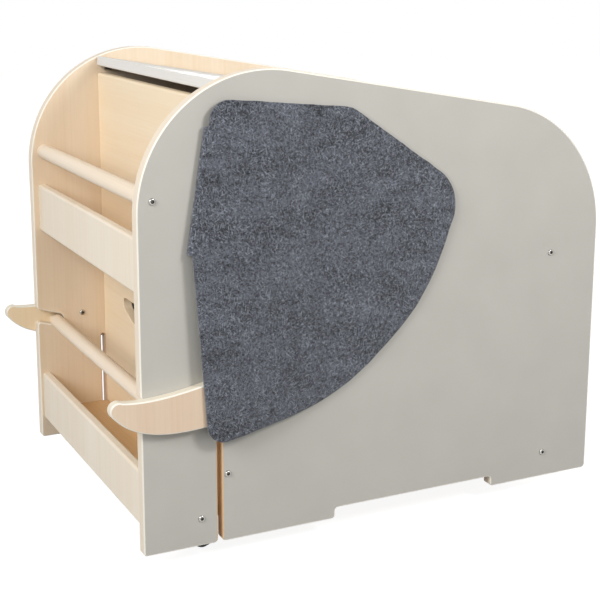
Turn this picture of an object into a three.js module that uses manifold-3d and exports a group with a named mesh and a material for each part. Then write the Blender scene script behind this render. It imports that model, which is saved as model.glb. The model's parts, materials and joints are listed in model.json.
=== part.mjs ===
// A toy box on wheels in the shape of an elephant. Two side panels are the animal's outline:
// trunk, front leg, belly and hind leg. Between them lie a bookshelf for picture books at the
// head, a chest with a sloping hinged lid behind it, and a base board on four swivel castors.
// Tusks on the outer faces are joined by a rail, and the ears are thick felt.
//
// Millimetres, +Z up. The head faces -X, the left side is -Y, and z = 0 is the floor under the
// middle of the object. Inside the body group x starts at the panels' front edge and z at the
// panels' bottom edge, as a cabinetmaker would measure the boards.

import * as THREE from 'three';
import { mergeVertices } from 'three/addons/utils/BufferGeometryUtils.js';
import Module from 'manifold-3d';

const wasm = await Module();
wasm.setup();

// Fits and fineness
const SEAT_GAP = 0.3; // between pieces that touch, and around a pin or screw in its hole
const RUNNING_GAP = 0.8; // beside a wheel in its fork
const ARC_ERROR = 0.25; // widest space between a true arc and its chords
const SLOPPY_CUT = 2; // how far a cutter runs past the face it opens
const ROUND_END = 0.48; // corner radius that makes a round end, as a share of a slot's width

// Side panels
const BODY_LENGTH = 600;
const BODY_WIDTH = 425; // over both outer faces
const PANEL_THICKNESS = 15;
const PANEL_EDGE_ROUND = 1.5;
const PANEL_HEAD_CORNER = 555; // height where the sloping top would meet the front edge
const PANEL_HEAD_RADIUS = 150;
const PANEL_RUMP_RADIUS = 160;
const TOP_SLOPE = THREE.MathUtils.degToRad(9.9);
const PANEL_FOOT_RADIUS = 5;

// Slot between trunk and front leg, and the belly cut between the legs
const TRUNK_SLOT_WIDTH = 5.7;
const TRUNK_SLOT_HEIGHT = 136;
const TRUNK_SLOT_SETBACK = 0.6; // in front of the divider
const FRONT_LEG_REAR = 236;
const HIND_LEG_LENGTH = 146;
const BELLY_HEIGHT = 13;
const BELLY_CORNER_RADIUS = 4;

// Notch in the front edge that slants down to the lower rail's tenon
const NOTCH_MOUTH_BOTTOM = 163.2;
const NOTCH_MOUTH_TOP = 181;
const NOTCH_MOUTH_RADIUS = 4;
const NOTCH_DEPTH = 36;
const NOTCH_END_BOTTOM = 153.6;
const NOTCH_END_TOP = 169.5;

// Boards between the side panels
const BOARD_THICKNESS = 12;
const BOARD_EDGE_ROUND = 3.5;
const BASE_THICKNESS = 15;
const BASE_UNDERSIDE = 25;
const HOUSING_DEPTH = 3; // grooves in the base board for the divider's and the rear panel's foot
const DIVIDER_FRONT = 94;
const REAR_PANEL_SETBACK = 63; // in front of the side panels' rear edge
const LOWER_BOARD_FRONT = 4;
const LOWER_BOARD_RISE = 2; // its lower edge over the base board's underside
const LOWER_BOARD_HEIGHT = 64;
const UPPER_BOARD_FRONT = 8;
const UPPER_BOARD_BOTTOM = 288;
const UPPER_BOARD_HEIGHT = 62;

// Smiling mouth through the divider, which also airs the chest
const MOUTH_WIDTH = 233;
const MOUTH_TOP = 206.5;
const MOUTH_END_RADIUS = 8;
const MOUTH_LIP_RADIUS = 286;

// Rails
const UPPER_RAIL_RADIUS = 9.6;
const UPPER_RAIL_SETBACK = 17.5; // from the front edge to the rail's axis
const UPPER_RAIL_HEIGHT = 394;
const LOWER_RAIL_RADIUS = 8.9;
const LOWER_RAIL_SETBACK = 25.8;
const TENON_RADIUS = 5; // turned on the lower rail's ends
const TENON_SOCKET_DEPTH = 6; // how far a tenon enters its tusk

// Tusks: heights from the screw's level, lengths from the panels' front edge
const TUSK_SCREW_LEVEL = 169.7;
const TUSK_SCREW_SETBACK = 62.2;
const TUSK_THICKNESS = 12;
const TUSK_EDGE_ROUND = 1.5;
const TUSK_REACH = 38; // in front of the panels
const TUSK_ROOT = 82; // behind the panels' front edge
const TUSK_TIP_RADIUS = 9.5;
const TUSK_TIP_RISE = 5.8;
const TUSK_TIP_TOP = THREE.MathUtils.degToRad(62); // where the round tip meets the upper edge
const TUSK_TIP_BOTTOM = THREE.MathUtils.degToRad(230); // and the lower edge
const TUSK_HOLLOW_AT = 13.7; // pull of the hollow upper edge
const TUSK_HOLLOW_RISE = 8.3;
const TUSK_ROOT_RISE = 24.1;
const TUSK_CHIN_REACH = 11.7; // in front of the panels, pull of the bowed lower edge
const TUSK_BELLY_AT = 39.6;
const TUSK_BELLY_DROP = 28.8;
const TUSK_ROOT_DROP = 25.7;

// Lid
const LID_RECESS = 22.6; // its top under the side panels' sloping top, before that is rounded
const LID_FINGER_GAP = 10.2; // over the divider
const LID_SIDE_GAP = 2;
const LID_EDGE_ROUND = 1.5;
const LID_REST_SETBACK = 8; // from the lid's front edge to the rest
const LID_REST_LENGTH = 10;
const LID_REST_REACH = 12;
const LID_REST_THICKNESS = 3;
const LID_REST_PIN_RADIUS = 2.5;
const LID_REST_PIN_LENGTH = 10;

// Lid hinges
const HINGE_INSET = 67.5; // from a panel's inner face to the middle of a hinge
const HINGE_WIDTH = 42;
const HINGE_BARREL_RADIUS = 4;
const HINGE_LEAF_THICKNESS = 1.5;
const HINGE_LEAF_LENGTH = 27;
const HINGE_PIN_RADIUS = 1.6;
const HINGE_SCREW_SPACING = 25;

// Ears: felt hung from a flap that is folded back behind the front edge
const FELT_THICKNESS = 3;
const EAR_CORNERS = [
  [79.9, 474.5, 1],
  [79.5, 499, 22],
  [250.6, 481.8, 40],
  [398.7, 381, 50],
  [350.4, 251.1, 230],
  [234.3, 149, 210],
  [71.8, 120.6, 20],
  [57.5, 333, 1],
];
const EAR_FOLD_TOP = [74.5, 469];
const EAR_FOLD_BOTTOM = [52.5, 335];
const EAR_FLAP_WIDTH = 20;
const EAR_FLAP_LAP = 6; // how far the hook-shaped flap runs into the ear's sheet
const EAR_FLAP_INSET = 0.2; // and how much thinner it is there
const EAR_FLAP_STEPS = 6; // straight steps round the fold
const EAR_RINGS = 4; // rings of facets from the ear's outline to its middle
const EAR_LIFT_AT_FOLD_TOP = 6; // back of the felt off the panel where the fold ends
const EAR_LIFT_AT_REAR = 0.5;
const EAR_BEND_START = 90; // behind this the felt comes back to the panel
const EAR_BEND_LENGTH = 140;

// Castors
const CASTOR_HEIGHT = 45;
const CASTOR_FRONT = 75;
const CASTOR_REAR_SETBACK = 42; // from the base board's rear edge to the swivel axis
const CASTOR_INSET = 41.5; // from a panel's inner face to the swivel axis
const CASTOR_FRONT_HEADING = THREE.MathUtils.degToRad(-61); // where the wheels trail at rest
const CASTOR_REAR_HEADING = THREE.MathUtils.degToRad(60);
const CASTOR_TRAIL = 18;
const WHEEL_RADIUS = 16;
const WHEEL_WIDTH = 14;
const WHEEL_HUB_WALL = 3;
const WHEEL_RIM_WALL = 4;
const WHEEL_RIM_BEVEL = 1;
const WHEEL_WEB_RECESS = 2;
const WHEEL_TREAD_ROUND = 2.5;
const WHEEL_SIDES = 22;
const CASTOR_PLATE_SIZE = 38;
const CASTOR_PLATE_THICKNESS = 2;
const CASTOR_DOME_RADIUS = 12;
const CASTOR_DOME_HEIGHT = 3.5;
const CASTOR_BALL_RADIUS = 1.2;
const CASTOR_BALL_COUNT = 8;
const CASTOR_BALL_CIRCLE = 9;
const FORK_CROWN_RADIUS = 13;
const FORK_CROWN_THICKNESS = 2;
const FORK_CHEEK_THICKNESS = 1.5;
const FORK_CHEEK_LENGTH = 9; // half length of a cheek under the crown
const FORK_EYE_RADIUS = 5.5;
const FORK_EYE_ROUND = 4.9;
const AXLE_RADIUS = 2;
const KINGPIN_RADIUS = 2.5;
const RIVET_HEAD_OVERHANG = 1.6;
const RIVET_HEAD_THICKNESS = 1.2;
const RIVET_SIDES = 10;

// Fasteners: head radius, head height, shank radius, shank length
const PANEL_SCREW = { head: 3.7, rise: 1.7, shank: 2.1, length: 35 };
const TUSK_SCREW = { head: 3.7, rise: 1.7, shank: 2.1, length: 24 };
const EAR_SCREW = { head: 5, rise: 1.4, shank: 1.7, length: 14 };
const HINGE_SCREW = { head: 3, rise: 0.7, shank: 1.4, length: 10 };
const CASTOR_SCREW = { head: 3.3, rise: 1.8, shank: 1.5, length: 11 };
const SCREW_CROWN = 0.7; // flat crown of a head as a share of its radius
const SCREW_SIDES = 8;
const DOWEL_RADIUS = 4;
const DOWEL_LENGTH = 20;
const DOWEL_INSET = 47.5; // from a panel's inner face to the outer dowels
const SHELF_SCREW_SETBACK = 67.8;
const DIVIDER_LOW_SCREW = 80;
const DIVIDER_HIGH_SCREW = 400;
const REAR_PANEL_SCREW = 290.5;
const EAR_SCREW_SHARES = [0.2, 0.8]; // of the way up the fold
const CASTOR_SCREW_SPACING = 29;

// Places that follow from the sizes above
const OUTER_FACE = BODY_WIDTH / 2;
const INNER_FACE = OUTER_FACE - PANEL_THICKNESS;
const BOARD_HALF = INNER_FACE - SEAT_GAP;
const BASE_TOP = BASE_UNDERSIDE + BASE_THICKNESS;
const HOUSING_FLOOR = BASE_TOP - HOUSING_DEPTH;
const BASE_MIDDLE = BASE_UNDERSIDE + BASE_THICKNESS / 2;
const DIVIDER_MIDDLE = DIVIDER_FRONT + BOARD_THICKNESS / 2;
const DIVIDER_REAR = DIVIDER_FRONT + BOARD_THICKNESS;
const TRUNK_SLOT_REAR = DIVIDER_FRONT - TRUNK_SLOT_SETBACK;
const TRUNK_SLOT_FRONT = TRUNK_SLOT_REAR - TRUNK_SLOT_WIDTH;
const HIND_LEG_FRONT = BODY_LENGTH - HIND_LEG_LENGTH;
const REAR_PANEL_FRONT = BODY_LENGTH - REAR_PANEL_SETBACK - BOARD_THICKNESS;
const REAR_PANEL_MIDDLE = REAR_PANEL_FRONT + BOARD_THICKNESS / 2;
const REAR_PANEL_REAR = REAR_PANEL_FRONT + BOARD_THICKNESS;
const CASTOR_REAR = REAR_PANEL_REAR - CASTOR_REAR_SETBACK;
const LOWER_BOARD_REAR = LOWER_BOARD_FRONT + BOARD_THICKNESS;
const LOWER_BOARD_BOTTOM = BASE_UNDERSIDE + LOWER_BOARD_RISE;
const UPPER_BOARD_REAR = UPPER_BOARD_FRONT + BOARD_THICKNESS;
const UPPER_SHELF_TOP = UPPER_BOARD_BOTTOM + BOARD_THICKNESS;
const UPPER_SHELF_MIDDLE = UPPER_BOARD_BOTTOM + BOARD_THICKNESS / 2;
const NOTCH_SLANT = Math.atan2(NOTCH_MOUTH_BOTTOM - NOTCH_END_BOTTOM, NOTCH_DEPTH);
const NOTCH_SEAT = NOTCH_MOUTH_BOTTOM - LOWER_RAIL_SETBACK * Math.tan(NOTCH_SLANT); // under the tenon
const LOWER_RAIL_HEIGHT = NOTCH_SEAT + (TENON_RADIUS + SEAT_GAP) / Math.cos(NOTCH_SLANT);
const TUSK_BACK = OUTER_FACE + SEAT_GAP;
const TUSK_FACE = TUSK_BACK + TUSK_THICKNESS;
const TUSK_ROOT_TOP = TUSK_SCREW_LEVEL + TUSK_ROOT_RISE;
const EAR_LIFT_AT_TUSK = TUSK_FACE + SEAT_GAP - OUTER_FACE;
const PANEL_LIFT = CASTOR_HEIGHT + SEAT_GAP - BASE_UNDERSIDE;

// The lid lies on its hinge's top leaf. Its own frame has the hinge axis at the origin and
// the lid's length along -x, and is tilted by the slope of the panels' top.
const LID_UNDERSIDE = HINGE_BARREL_RADIUS + SEAT_GAP;
const LID_TOP = LID_UNDERSIDE + BOARD_THICKNESS;
const HINGE_SETBACK = REAR_PANEL_REAR + SEAT_GAP + HINGE_BARREL_RADIUS;
const LID_FRONT = (HINGE_SETBACK + LID_TOP * Math.sin(TOP_SLOPE) - DIVIDER_FRONT) / Math.cos(TOP_SLOPE);
const LID_REAR = HINGE_BARREL_RADIUS + SEAT_GAP;
const LID_TOP_AT_FRONT = PANEL_HEAD_CORNER - DIVIDER_FRONT * Math.tan(TOP_SLOPE) - LID_RECESS;
const DIVIDER_TOP = LID_TOP_AT_FRONT - BOARD_THICKNESS * Math.cos(TOP_SLOPE) - LID_FINGER_GAP;
const HINGE_HEIGHT = LID_TOP_AT_FRONT - LID_FRONT * Math.sin(TOP_SLOPE) - LID_TOP * Math.cos(TOP_SLOPE);
const REAR_PANEL_TOP = HINGE_HEIGHT + HINGE_BARREL_RADIUS - HINGE_LEAF_THICKNESS - SEAT_GAP;

// How many straight steps stand for an arc of this radius and angle
function arcSteps(radius, angle) {
  const step = 2 * Math.acos(1 - ARC_ERROR / Math.max(radius, 2 * ARC_ERROR));
  return Math.max(2, Math.ceil(Math.abs(angle) / step));
}

// Points of an arc, both ends included
function arcPoints(x, y, radius, start, end, steps = arcSteps(radius, end - start)) {
  const points = [];
  for (let i = 0; i <= steps; i += 1) {
    const angle = start + ((end - start) * i) / steps;
    points.push(new THREE.Vector2(x + radius * Math.cos(angle), y + radius * Math.sin(angle)));
  }
  return points;
}

// A closed outline from corners [x, y, radius], each rounded by an arc tangent to both sides
function roundedPoints(corners) {
  const points = [];
  corners.forEach(([x, y, radius], i) => {
    const corner = new THREE.Vector2(x, y);
    const before = corners[(i + corners.length - 1) % corners.length];
    const after = corners[(i + 1) % corners.length];
    const back = new THREE.Vector2(before[0], before[1]).sub(corner).normalize();
    const ahead = new THREE.Vector2(after[0], after[1]).sub(corner).normalize();
    const half = Math.acos(THREE.MathUtils.clamp(back.dot(ahead), -1, 1)) / 2;
    if (radius === 0) {
      points.push(corner);
      return;
    }
    const middle = back.clone().add(ahead).normalize();
    const centre = middle.multiplyScalar(radius / Math.sin(half)).add(corner);
    const first = back.multiplyScalar(radius / Math.tan(half)).add(corner).sub(centre);
    const last = ahead.multiplyScalar(radius / Math.tan(half)).add(corner).sub(centre);
    const start = first.angle();
    let turn = last.angle() - start;
    if (turn > Math.PI) turn -= 2 * Math.PI;
    if (turn < -Math.PI) turn += 2 * Math.PI;
    points.push(...arcPoints(centre.x, centre.y, radius, start, start + turn));
  });
  return points;
}

function roundedShape(corners) {
  return new THREE.Shape(roundedPoints(corners));
}

// A shape drawn in x and z, run across from y0 to y1, with its edges rounded over if asked
function across(shape, y0, y1, edgeRound = 0) {
  const geometry = new THREE.ExtrudeGeometry(shape, {
    depth: y1 - y0 - 2 * edgeRound,
    bevelEnabled: edgeRound > 0,
    bevelThickness: edgeRound,
    bevelSize: edgeRound,
    bevelOffset: -edgeRound,
    bevelSegments: 1,
    curveSegments: 5,
  });
  return geometry.rotateX(Math.PI / 2).translate(0, y1 - edgeRound, 0);
}

function box(x0, x1, y0, y1, z0, z1) {
  const geometry = new THREE.BoxGeometry(x1 - x0, y1 - y0, z1 - z0);
  return geometry.translate((x0 + x1) / 2, (y0 + y1) / 2, (z0 + z1) / 2);
}

// Round bars along x, y and z
function barAcross(radius, y0, y1, x, z) {
  const geometry = new THREE.CylinderGeometry(radius, radius, y1 - y0, arcSteps(radius, 2 * Math.PI));
  return geometry.translate(x, (y0 + y1) / 2, z);
}

function barAlong(radius, x0, x1, y, z) {
  const geometry = new THREE.CylinderGeometry(radius, radius, x1 - x0, arcSteps(radius, 2 * Math.PI));
  return geometry.rotateZ(-Math.PI / 2).translate((x0 + x1) / 2, y, z);
}

function barUp(radius, z0, z1, x, y) {
  const geometry = new THREE.CylinderGeometry(radius, radius, z1 - z0, arcSteps(radius, 2 * Math.PI));
  return geometry.rotateX(Math.PI / 2).translate(x, y, (z0 + z1) / 2);
}

// Bare triangles with shared corners, without the slivers that a lathe leaves on its axis
function welded(geometry) {
  const bare = geometry.clone();
  bare.deleteAttribute('normal');
  bare.deleteAttribute('uv');
  const merged = mergeVertices(bare);
  const kept = [];
  for (let i = 0; i < merged.index.count; i += 3) {
    const [a, b, c] = [0, 1, 2].map((k) => merged.index.getX(i + k));
    if (a !== b && b !== c && c !== a) kept.push(a, b, c);
  }
  merged.setIndex(kept);
  return merged;
}

function toManifold(geometry) {
  const mesh = welded(geometry);
  return new wasm.Manifold(
    new wasm.Mesh({
      numProp: 3,
      vertProperties: new Float32Array(mesh.attributes.position.array),
      triVerts: new Uint32Array(mesh.index.array),
    }),
  );
}

function toGeometry(manifold) {
  const mesh = manifold.getMesh();
  const geometry = new THREE.BufferGeometry();
  geometry.setAttribute('position', new THREE.BufferAttribute(mesh.vertProperties, 3));
  geometry.setIndex(new THREE.BufferAttribute(mesh.triVerts, 1));
  return geometry;
}

function joined(...geometries) {
  return toGeometry(geometries.map(toManifold).reduce((all, one) => all.add(one)));
}

function cut(geometry, ...cutters) {
  return toGeometry(cutters.map(toManifold).reduce((left, one) => left.subtract(one), toManifold(geometry)));
}

// The same piece for the other side of the object
function mirrored(geometry) {
  const other = welded(geometry).scale(1, -1, 1);
  const index = other.index;
  for (let i = 0; i < index.count; i += 3) {
    const second = index.getX(i + 1);
    index.setX(i + 1, index.getX(i + 2));
    index.setX(i + 2, second);
  }
  return other;
}

// A turned piece about the y axis from its section's corners [radius, height]
function lathed(profile, segments) {
  return new THREE.LatheGeometry(profile.map(([r, y]) => new THREE.Vector2(r, y)), segments);
}

// A pan-head screw with the seat of its head at the origin, pointing along -y
function screw({ head, rise, shank, length }) {
  const profile = [
    [0, -length],
    [shank, -length],
    [shank, 0],
    [head, 0],
    [head * SCREW_CROWN, rise],
    [0, rise],
  ];
  return lathed(profile, SCREW_SIDES);
}

// The hole for that screw, open at the head
function screwHole({ shank, length }) {
  return barAcross(shank + SEAT_GAP, -length - SEAT_GAP, SLOPPY_CUT, 0, 0);
}

// Turns something made along -y so that it enters the left side panel from outside
function fromLeft(geometry, x, z) {
  return geometry.rotateX(Math.PI).translate(x, -OUTER_FACE - SEAT_GAP, z);
}

const object = new THREE.Group();
const body = new THREE.Group();
body.position.set((TUSK_REACH - BODY_LENGTH) / 2, 0, PANEL_LIFT);
object.add(body);

function add(group, name, geometry, colour, roughness, metalness = 0) {
  const material = new THREE.MeshStandardMaterial({ color: colour, roughness, metalness });
  const mesh = new THREE.Mesh(geometry, material);
  mesh.name = name;
  group.add(mesh);
  return mesh;
}

const BIRCH = 0xe6d3b8;
const BIRCH_DARK = 0xdcbf97;
const GREY_PAINT = 0xc4c3bb;
const FELT_GREY = 0x5c6068;
const NICKEL = 0xb9b8b2;
const ZINC = 0xa9acae;
const CASTOR_BLACK = 0x1d2030;

// Screws through the side panels: name, then x and z from the front edge and the bottom edge
const panelScrewPlaces = [
  ['upper_rail', UPPER_RAIL_SETBACK, UPPER_RAIL_HEIGHT],
  ['upper_shelf', SHELF_SCREW_SETBACK, UPPER_SHELF_MIDDLE],
  ['base_front', SHELF_SCREW_SETBACK, BASE_MIDDLE],
  ['base_rear', REAR_PANEL_MIDDLE, BASE_MIDDLE],
  ['divider_high', DIVIDER_MIDDLE, DIVIDER_HIGH_SCREW],
  ['divider_low', DIVIDER_MIDDLE, DIVIDER_LOW_SCREW],
  ['rear_panel', REAR_PANEL_MIDDLE, REAR_PANEL_SCREW],
];
const leftScrewHoles = panelScrewPlaces.map(([, x, z]) => fromLeft(screwHole(PANEL_SCREW), x, z));
const panelScrewHoles = [...leftScrewHoles, ...leftScrewHoles.map(mirrored)];

// A tusk's screw enters from the panel's inner face
function fromInside(geometry) {
  return geometry.translate(TUSK_SCREW_SETBACK, SEAT_GAP - INNER_FACE, TUSK_SCREW_LEVEL);
}

// The ear's felt: how far its back stands off the side panel's outer face
function earLift(x, z) {
  const lean = (EAR_LIFT_AT_TUSK - EAR_LIFT_AT_FOLD_TOP) / (EAR_FOLD_TOP[1] - TUSK_ROOT_TOP);
  const front = EAR_LIFT_AT_FOLD_TOP + lean * (EAR_FOLD_TOP[1] - z);
  const back = THREE.MathUtils.smoothstep(x, EAR_BEND_START, EAR_BEND_START + EAR_BEND_LENGTH);
  return THREE.MathUtils.lerp(front, EAR_LIFT_AT_REAR, back);
}

// Radius of the fold's middle layer, and the x of the fold's axis, at one of its ends
function foldRadius([x, z]) {
  return (earLift(x, z) - SEAT_GAP) / 2;
}

function foldAxis(end) {
  return end[0] + foldRadius(end) + FELT_THICKNESS / 2;
}

// A bent sheet of even thickness: rings from the outline to its middle, on both faces
function earSheet() {
  const fold = [EAR_FOLD_BOTTOM, EAR_FOLD_TOP].map((end) => [foldAxis(end), end[1], 0]);
  const outline = roundedPoints([...EAR_CORNERS, ...fold]);
  const centre = outline.reduce((sum, p) => sum.add(p), new THREE.Vector2()).divideScalar(outline.length);
  const count = outline.length;
  const positions = [];
  for (const layer of [FELT_THICKNESS, 0]) {
    const push = (x, z) => positions.push(x, -OUTER_FACE - earLift(x, z) - layer, z);
    push(centre.x, centre.y);
    for (let ring = 1; ring <= EAR_RINGS; ring += 1) {
      outline.map((point) => centre.clone().lerp(point, ring / EAR_RINGS)).forEach((at) => push(at.x, at.y));
    }
  }
  const back = 1 + EAR_RINGS * count;
  const rim = back - count;
  const index = [];
  for (let i = 0; i < count; i += 1) {
    const next = (i + 1) % count;
    index.push(0, 1 + next, 1 + i);
    index.push(back, back + 1 + i, back + 1 + next);
    for (let inner = 1; inner < rim; inner += count) {
      const outer = inner + count;
      index.push(inner + i, inner + next, outer + next);
      index.push(inner + i, outer + next, outer + i);
      index.push(back + inner + i, back + outer + next, back + inner + next);
      index.push(back + inner + i, back + outer + i, back + outer + next);
    }
    index.push(rim + i, rim + next, back + rim + next);
    index.push(rim + i, back + rim + next, back + rim + i);
  }
  return indexed(positions, index);
}

function indexed(positions, index) {
  const geometry = new THREE.BufferGeometry();
  geometry.setAttribute('position', new THREE.Float32BufferAttribute(positions, 3));
  geometry.setIndex(index);
  return geometry;
}

// The flap folded back behind the ear, as a hook-shaped section that grows with the felt's lift
function earFlap() {
  const section = (end) => {
    const middle = foldRadius(end);
    const x = foldAxis(end);
    const y = -OUTER_FACE - SEAT_GAP - FELT_THICKNESS / 2 - middle;
    const outside = middle + FELT_THICKNESS / 2;
    const inside = middle - FELT_THICKNESS / 2;
    return [
      new THREE.Vector2(x + EAR_FLAP_WIDTH, y + outside),
      ...arcPoints(x, y, outside, Math.PI / 2, (3 * Math.PI) / 2, EAR_FLAP_STEPS),
      new THREE.Vector2(x + EAR_FLAP_LAP, y - outside + EAR_FLAP_INSET),
      new THREE.Vector2(x + EAR_FLAP_LAP, y - inside - EAR_FLAP_INSET),
      ...arcPoints(x, y, inside, (3 * Math.PI) / 2, Math.PI / 2, EAR_FLAP_STEPS),
      new THREE.Vector2(x + EAR_FLAP_WIDTH, y + inside),
    ];
  };
  const bottom = section(EAR_FOLD_BOTTOM);
  const top = section(EAR_FOLD_TOP);
  const count = bottom.length;
  const positions = [
    ...bottom.flatMap((p) => [p.x, p.y, EAR_FOLD_BOTTOM[1]]),
    ...top.flatMap((p) => [p.x, p.y, EAR_FOLD_TOP[1]]),
  ];
  const index = [];
  for (const [a, b, c] of THREE.ShapeUtils.triangulateShape(bottom, [])) {
    index.push(c, b, a, count + a, count + b, count + c);
  }
  for (let i = 0; i < count; i += 1) {
    const next = (i + 1) % count;
    index.push(i, next, count + next, i, count + next, count + i);
  }
  return indexed(positions, index);
}

// Places of the screws that hold an ear's flap, along the middle of the flap
const earScrewPlaces = EAR_SCREW_SHARES.map((share) => {
  const low = foldAxis(EAR_FOLD_BOTTOM);
  const high = foldAxis(EAR_FOLD_TOP);
  return [
    THREE.MathUtils.lerp(low, high, share) + EAR_FLAP_WIDTH / 2,
    THREE.MathUtils.lerp(EAR_FOLD_BOTTOM[1], EAR_FOLD_TOP[1], share),
  ];
});
const earScrewSeat = -OUTER_FACE - SEAT_GAP - FELT_THICKNESS - SEAT_GAP;
function atEarScrews(make) {
  return earScrewPlaces.map(([x, z]) => make(EAR_SCREW).rotateX(Math.PI).translate(x, earScrewSeat, z));
}

// Dowels glued into a board's edge: forwards into a front board, or up into an upright panel
const dowelRows = [DOWEL_INSET - INNER_FACE, 0, INNER_FACE - DOWEL_INSET];
function dowelsForward(x, z, fit = 0) {
  const half = DOWEL_LENGTH / 2 + fit;
  return dowelRows.map((y) => barAlong(DOWEL_RADIUS + fit, x - half, x + half, y, z));
}
function dowelsUp(x, fit = 0) {
  const half = DOWEL_LENGTH / 2 + fit;
  return dowelRows.map((y) => barUp(DOWEL_RADIUS + fit, HOUSING_FLOOR - half, HOUSING_FLOOR + half, x, y));
}

// Side panel: the animal's outline with slot, belly cut and rail notch, cut from one board
const notchEndRadius = (NOTCH_END_TOP - NOTCH_END_BOTTOM) * ROUND_END;
const rumpCorner = PANEL_HEAD_CORNER - BODY_LENGTH * Math.tan(TOP_SLOPE);
const panelShape = roundedShape([
  [0, 0, PANEL_FOOT_RADIUS],
  [TRUNK_SLOT_FRONT, 0, BELLY_CORNER_RADIUS],
  [TRUNK_SLOT_FRONT, TRUNK_SLOT_HEIGHT, TRUNK_SLOT_WIDTH * ROUND_END],
  [TRUNK_SLOT_REAR, TRUNK_SLOT_HEIGHT, TRUNK_SLOT_WIDTH * ROUND_END],
  [TRUNK_SLOT_REAR, 0, BELLY_CORNER_RADIUS],
  [FRONT_LEG_REAR, 0, BELLY_CORNER_RADIUS],
  [FRONT_LEG_REAR, BELLY_HEIGHT, BELLY_CORNER_RADIUS],
  [HIND_LEG_FRONT, BELLY_HEIGHT, BELLY_CORNER_RADIUS],
  [HIND_LEG_FRONT, 0, BELLY_CORNER_RADIUS],
  [BODY_LENGTH, 0, PANEL_FOOT_RADIUS],
  [BODY_LENGTH, rumpCorner, PANEL_RUMP_RADIUS],
  [0, PANEL_HEAD_CORNER, PANEL_HEAD_RADIUS],
  [0, NOTCH_MOUTH_TOP, NOTCH_MOUTH_RADIUS],
  [NOTCH_DEPTH, NOTCH_END_TOP, notchEndRadius],
  [NOTCH_DEPTH, NOTCH_END_BOTTOM, notchEndRadius],
  [0, NOTCH_MOUTH_BOTTOM, NOTCH_MOUTH_RADIUS],
]);

// The lid's rests are paddles on pins in the panels' inner faces, tilted like the lid
const restEnd = LID_REST_SETBACK - LID_FRONT;
const restMiddle = restEnd + LID_REST_LENGTH / 2;
const restTop = LID_UNDERSIDE - SEAT_GAP;
const restAxis = restTop - LID_REST_THICKNESS / 2;
function tilted(geometry) {
  return geometry.rotateY(TOP_SLOPE).translate(HINGE_SETBACK, 0, HINGE_HEIGHT);
}
const restPinHole = tilted(
  barAcross(
    LID_REST_PIN_RADIUS + SEAT_GAP,
    -INNER_FACE - LID_REST_PIN_LENGTH - SEAT_GAP,
    SLOPPY_CUT - INNER_FACE,
    restMiddle,
    restAxis,
  ),
);

const leftPanel = cut(
  across(panelShape, -OUTER_FACE, -INNER_FACE, PANEL_EDGE_ROUND),
  ...leftScrewHoles,
  ...atEarScrews(screwHole),
  fromInside(screwHole(TUSK_SCREW)),
  restPinHole,
);
add(body, 'side_panel_left', leftPanel, GREY_PAINT, 0.55);
add(body, 'side_panel_right', mirrored(leftPanel), GREY_PAINT, 0.55);

// Boards between the panels, each a section run across with its long edges rounded over
function board(x0, x1, z0, z1, edges = [0, 0, 0, 0]) {
  const [lowFront, lowRear, topRear, topFront] = edges;
  const shape = roundedShape([
    [x0, z0, lowFront],
    [x1, z0, lowRear],
    [x1, z1, topRear],
    [x0, z1, topFront],
  ]);
  return across(shape, -BOARD_HALF, BOARD_HALF);
}
const round = BOARD_EDGE_ROUND;

const castorPlaces = [
  ['front_left', CASTOR_FRONT, CASTOR_INSET - INNER_FACE, CASTOR_FRONT_HEADING],
  ['front_right', CASTOR_FRONT, INNER_FACE - CASTOR_INSET, CASTOR_FRONT_HEADING],
  ['rear_left', CASTOR_REAR, CASTOR_INSET - INNER_FACE, CASTOR_REAR_HEADING],
  ['rear_right', CASTOR_REAR, INNER_FACE - CASTOR_INSET, CASTOR_REAR_HEADING],
];
const screwOffset = CASTOR_SCREW_SPACING / 2;
const plateCorners = [
  [-screwOffset, -screwOffset],
  [-screwOffset, screwOffset],
  [screwOffset, -screwOffset],
  [screwOffset, screwOffset],
];
const plateUnderside = BASE_UNDERSIDE - SEAT_GAP - CASTOR_PLATE_THICKNESS;
const castorScrewHoles = castorPlaces.flatMap(([, x, y]) =>
  plateCorners.map(([i, j]) =>
    screwHole(CASTOR_SCREW).rotateX(-Math.PI / 2).translate(x + i, y + j, plateUnderside),
  ),
);

// A groove right across the base board for an upright panel's foot
function housing(front, rear) {
  const reach = BOARD_HALF + SLOPPY_CUT;
  return box(front, rear, -reach, reach, HOUSING_FLOOR, BASE_TOP + SLOPPY_CUT);
}

const base = joined(
  cut(
    board(LOWER_BOARD_REAR + SEAT_GAP, REAR_PANEL_REAR, BASE_UNDERSIDE, BASE_TOP),
    housing(DIVIDER_FRONT - SEAT_GAP, DIVIDER_REAR + SEAT_GAP),
    housing(REAR_PANEL_FRONT - SEAT_GAP, REAR_PANEL_REAR + SLOPPY_CUT),
    ...panelScrewHoles,
    ...castorScrewHoles,
  ),
  ...dowelsForward(LOWER_BOARD_REAR, BASE_MIDDLE),
  ...dowelsUp(DIVIDER_MIDDLE),
  ...dowelsUp(REAR_PANEL_MIDDLE),
);
add(body, 'base_board', base, BIRCH_DARK, 0.6);

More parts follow.
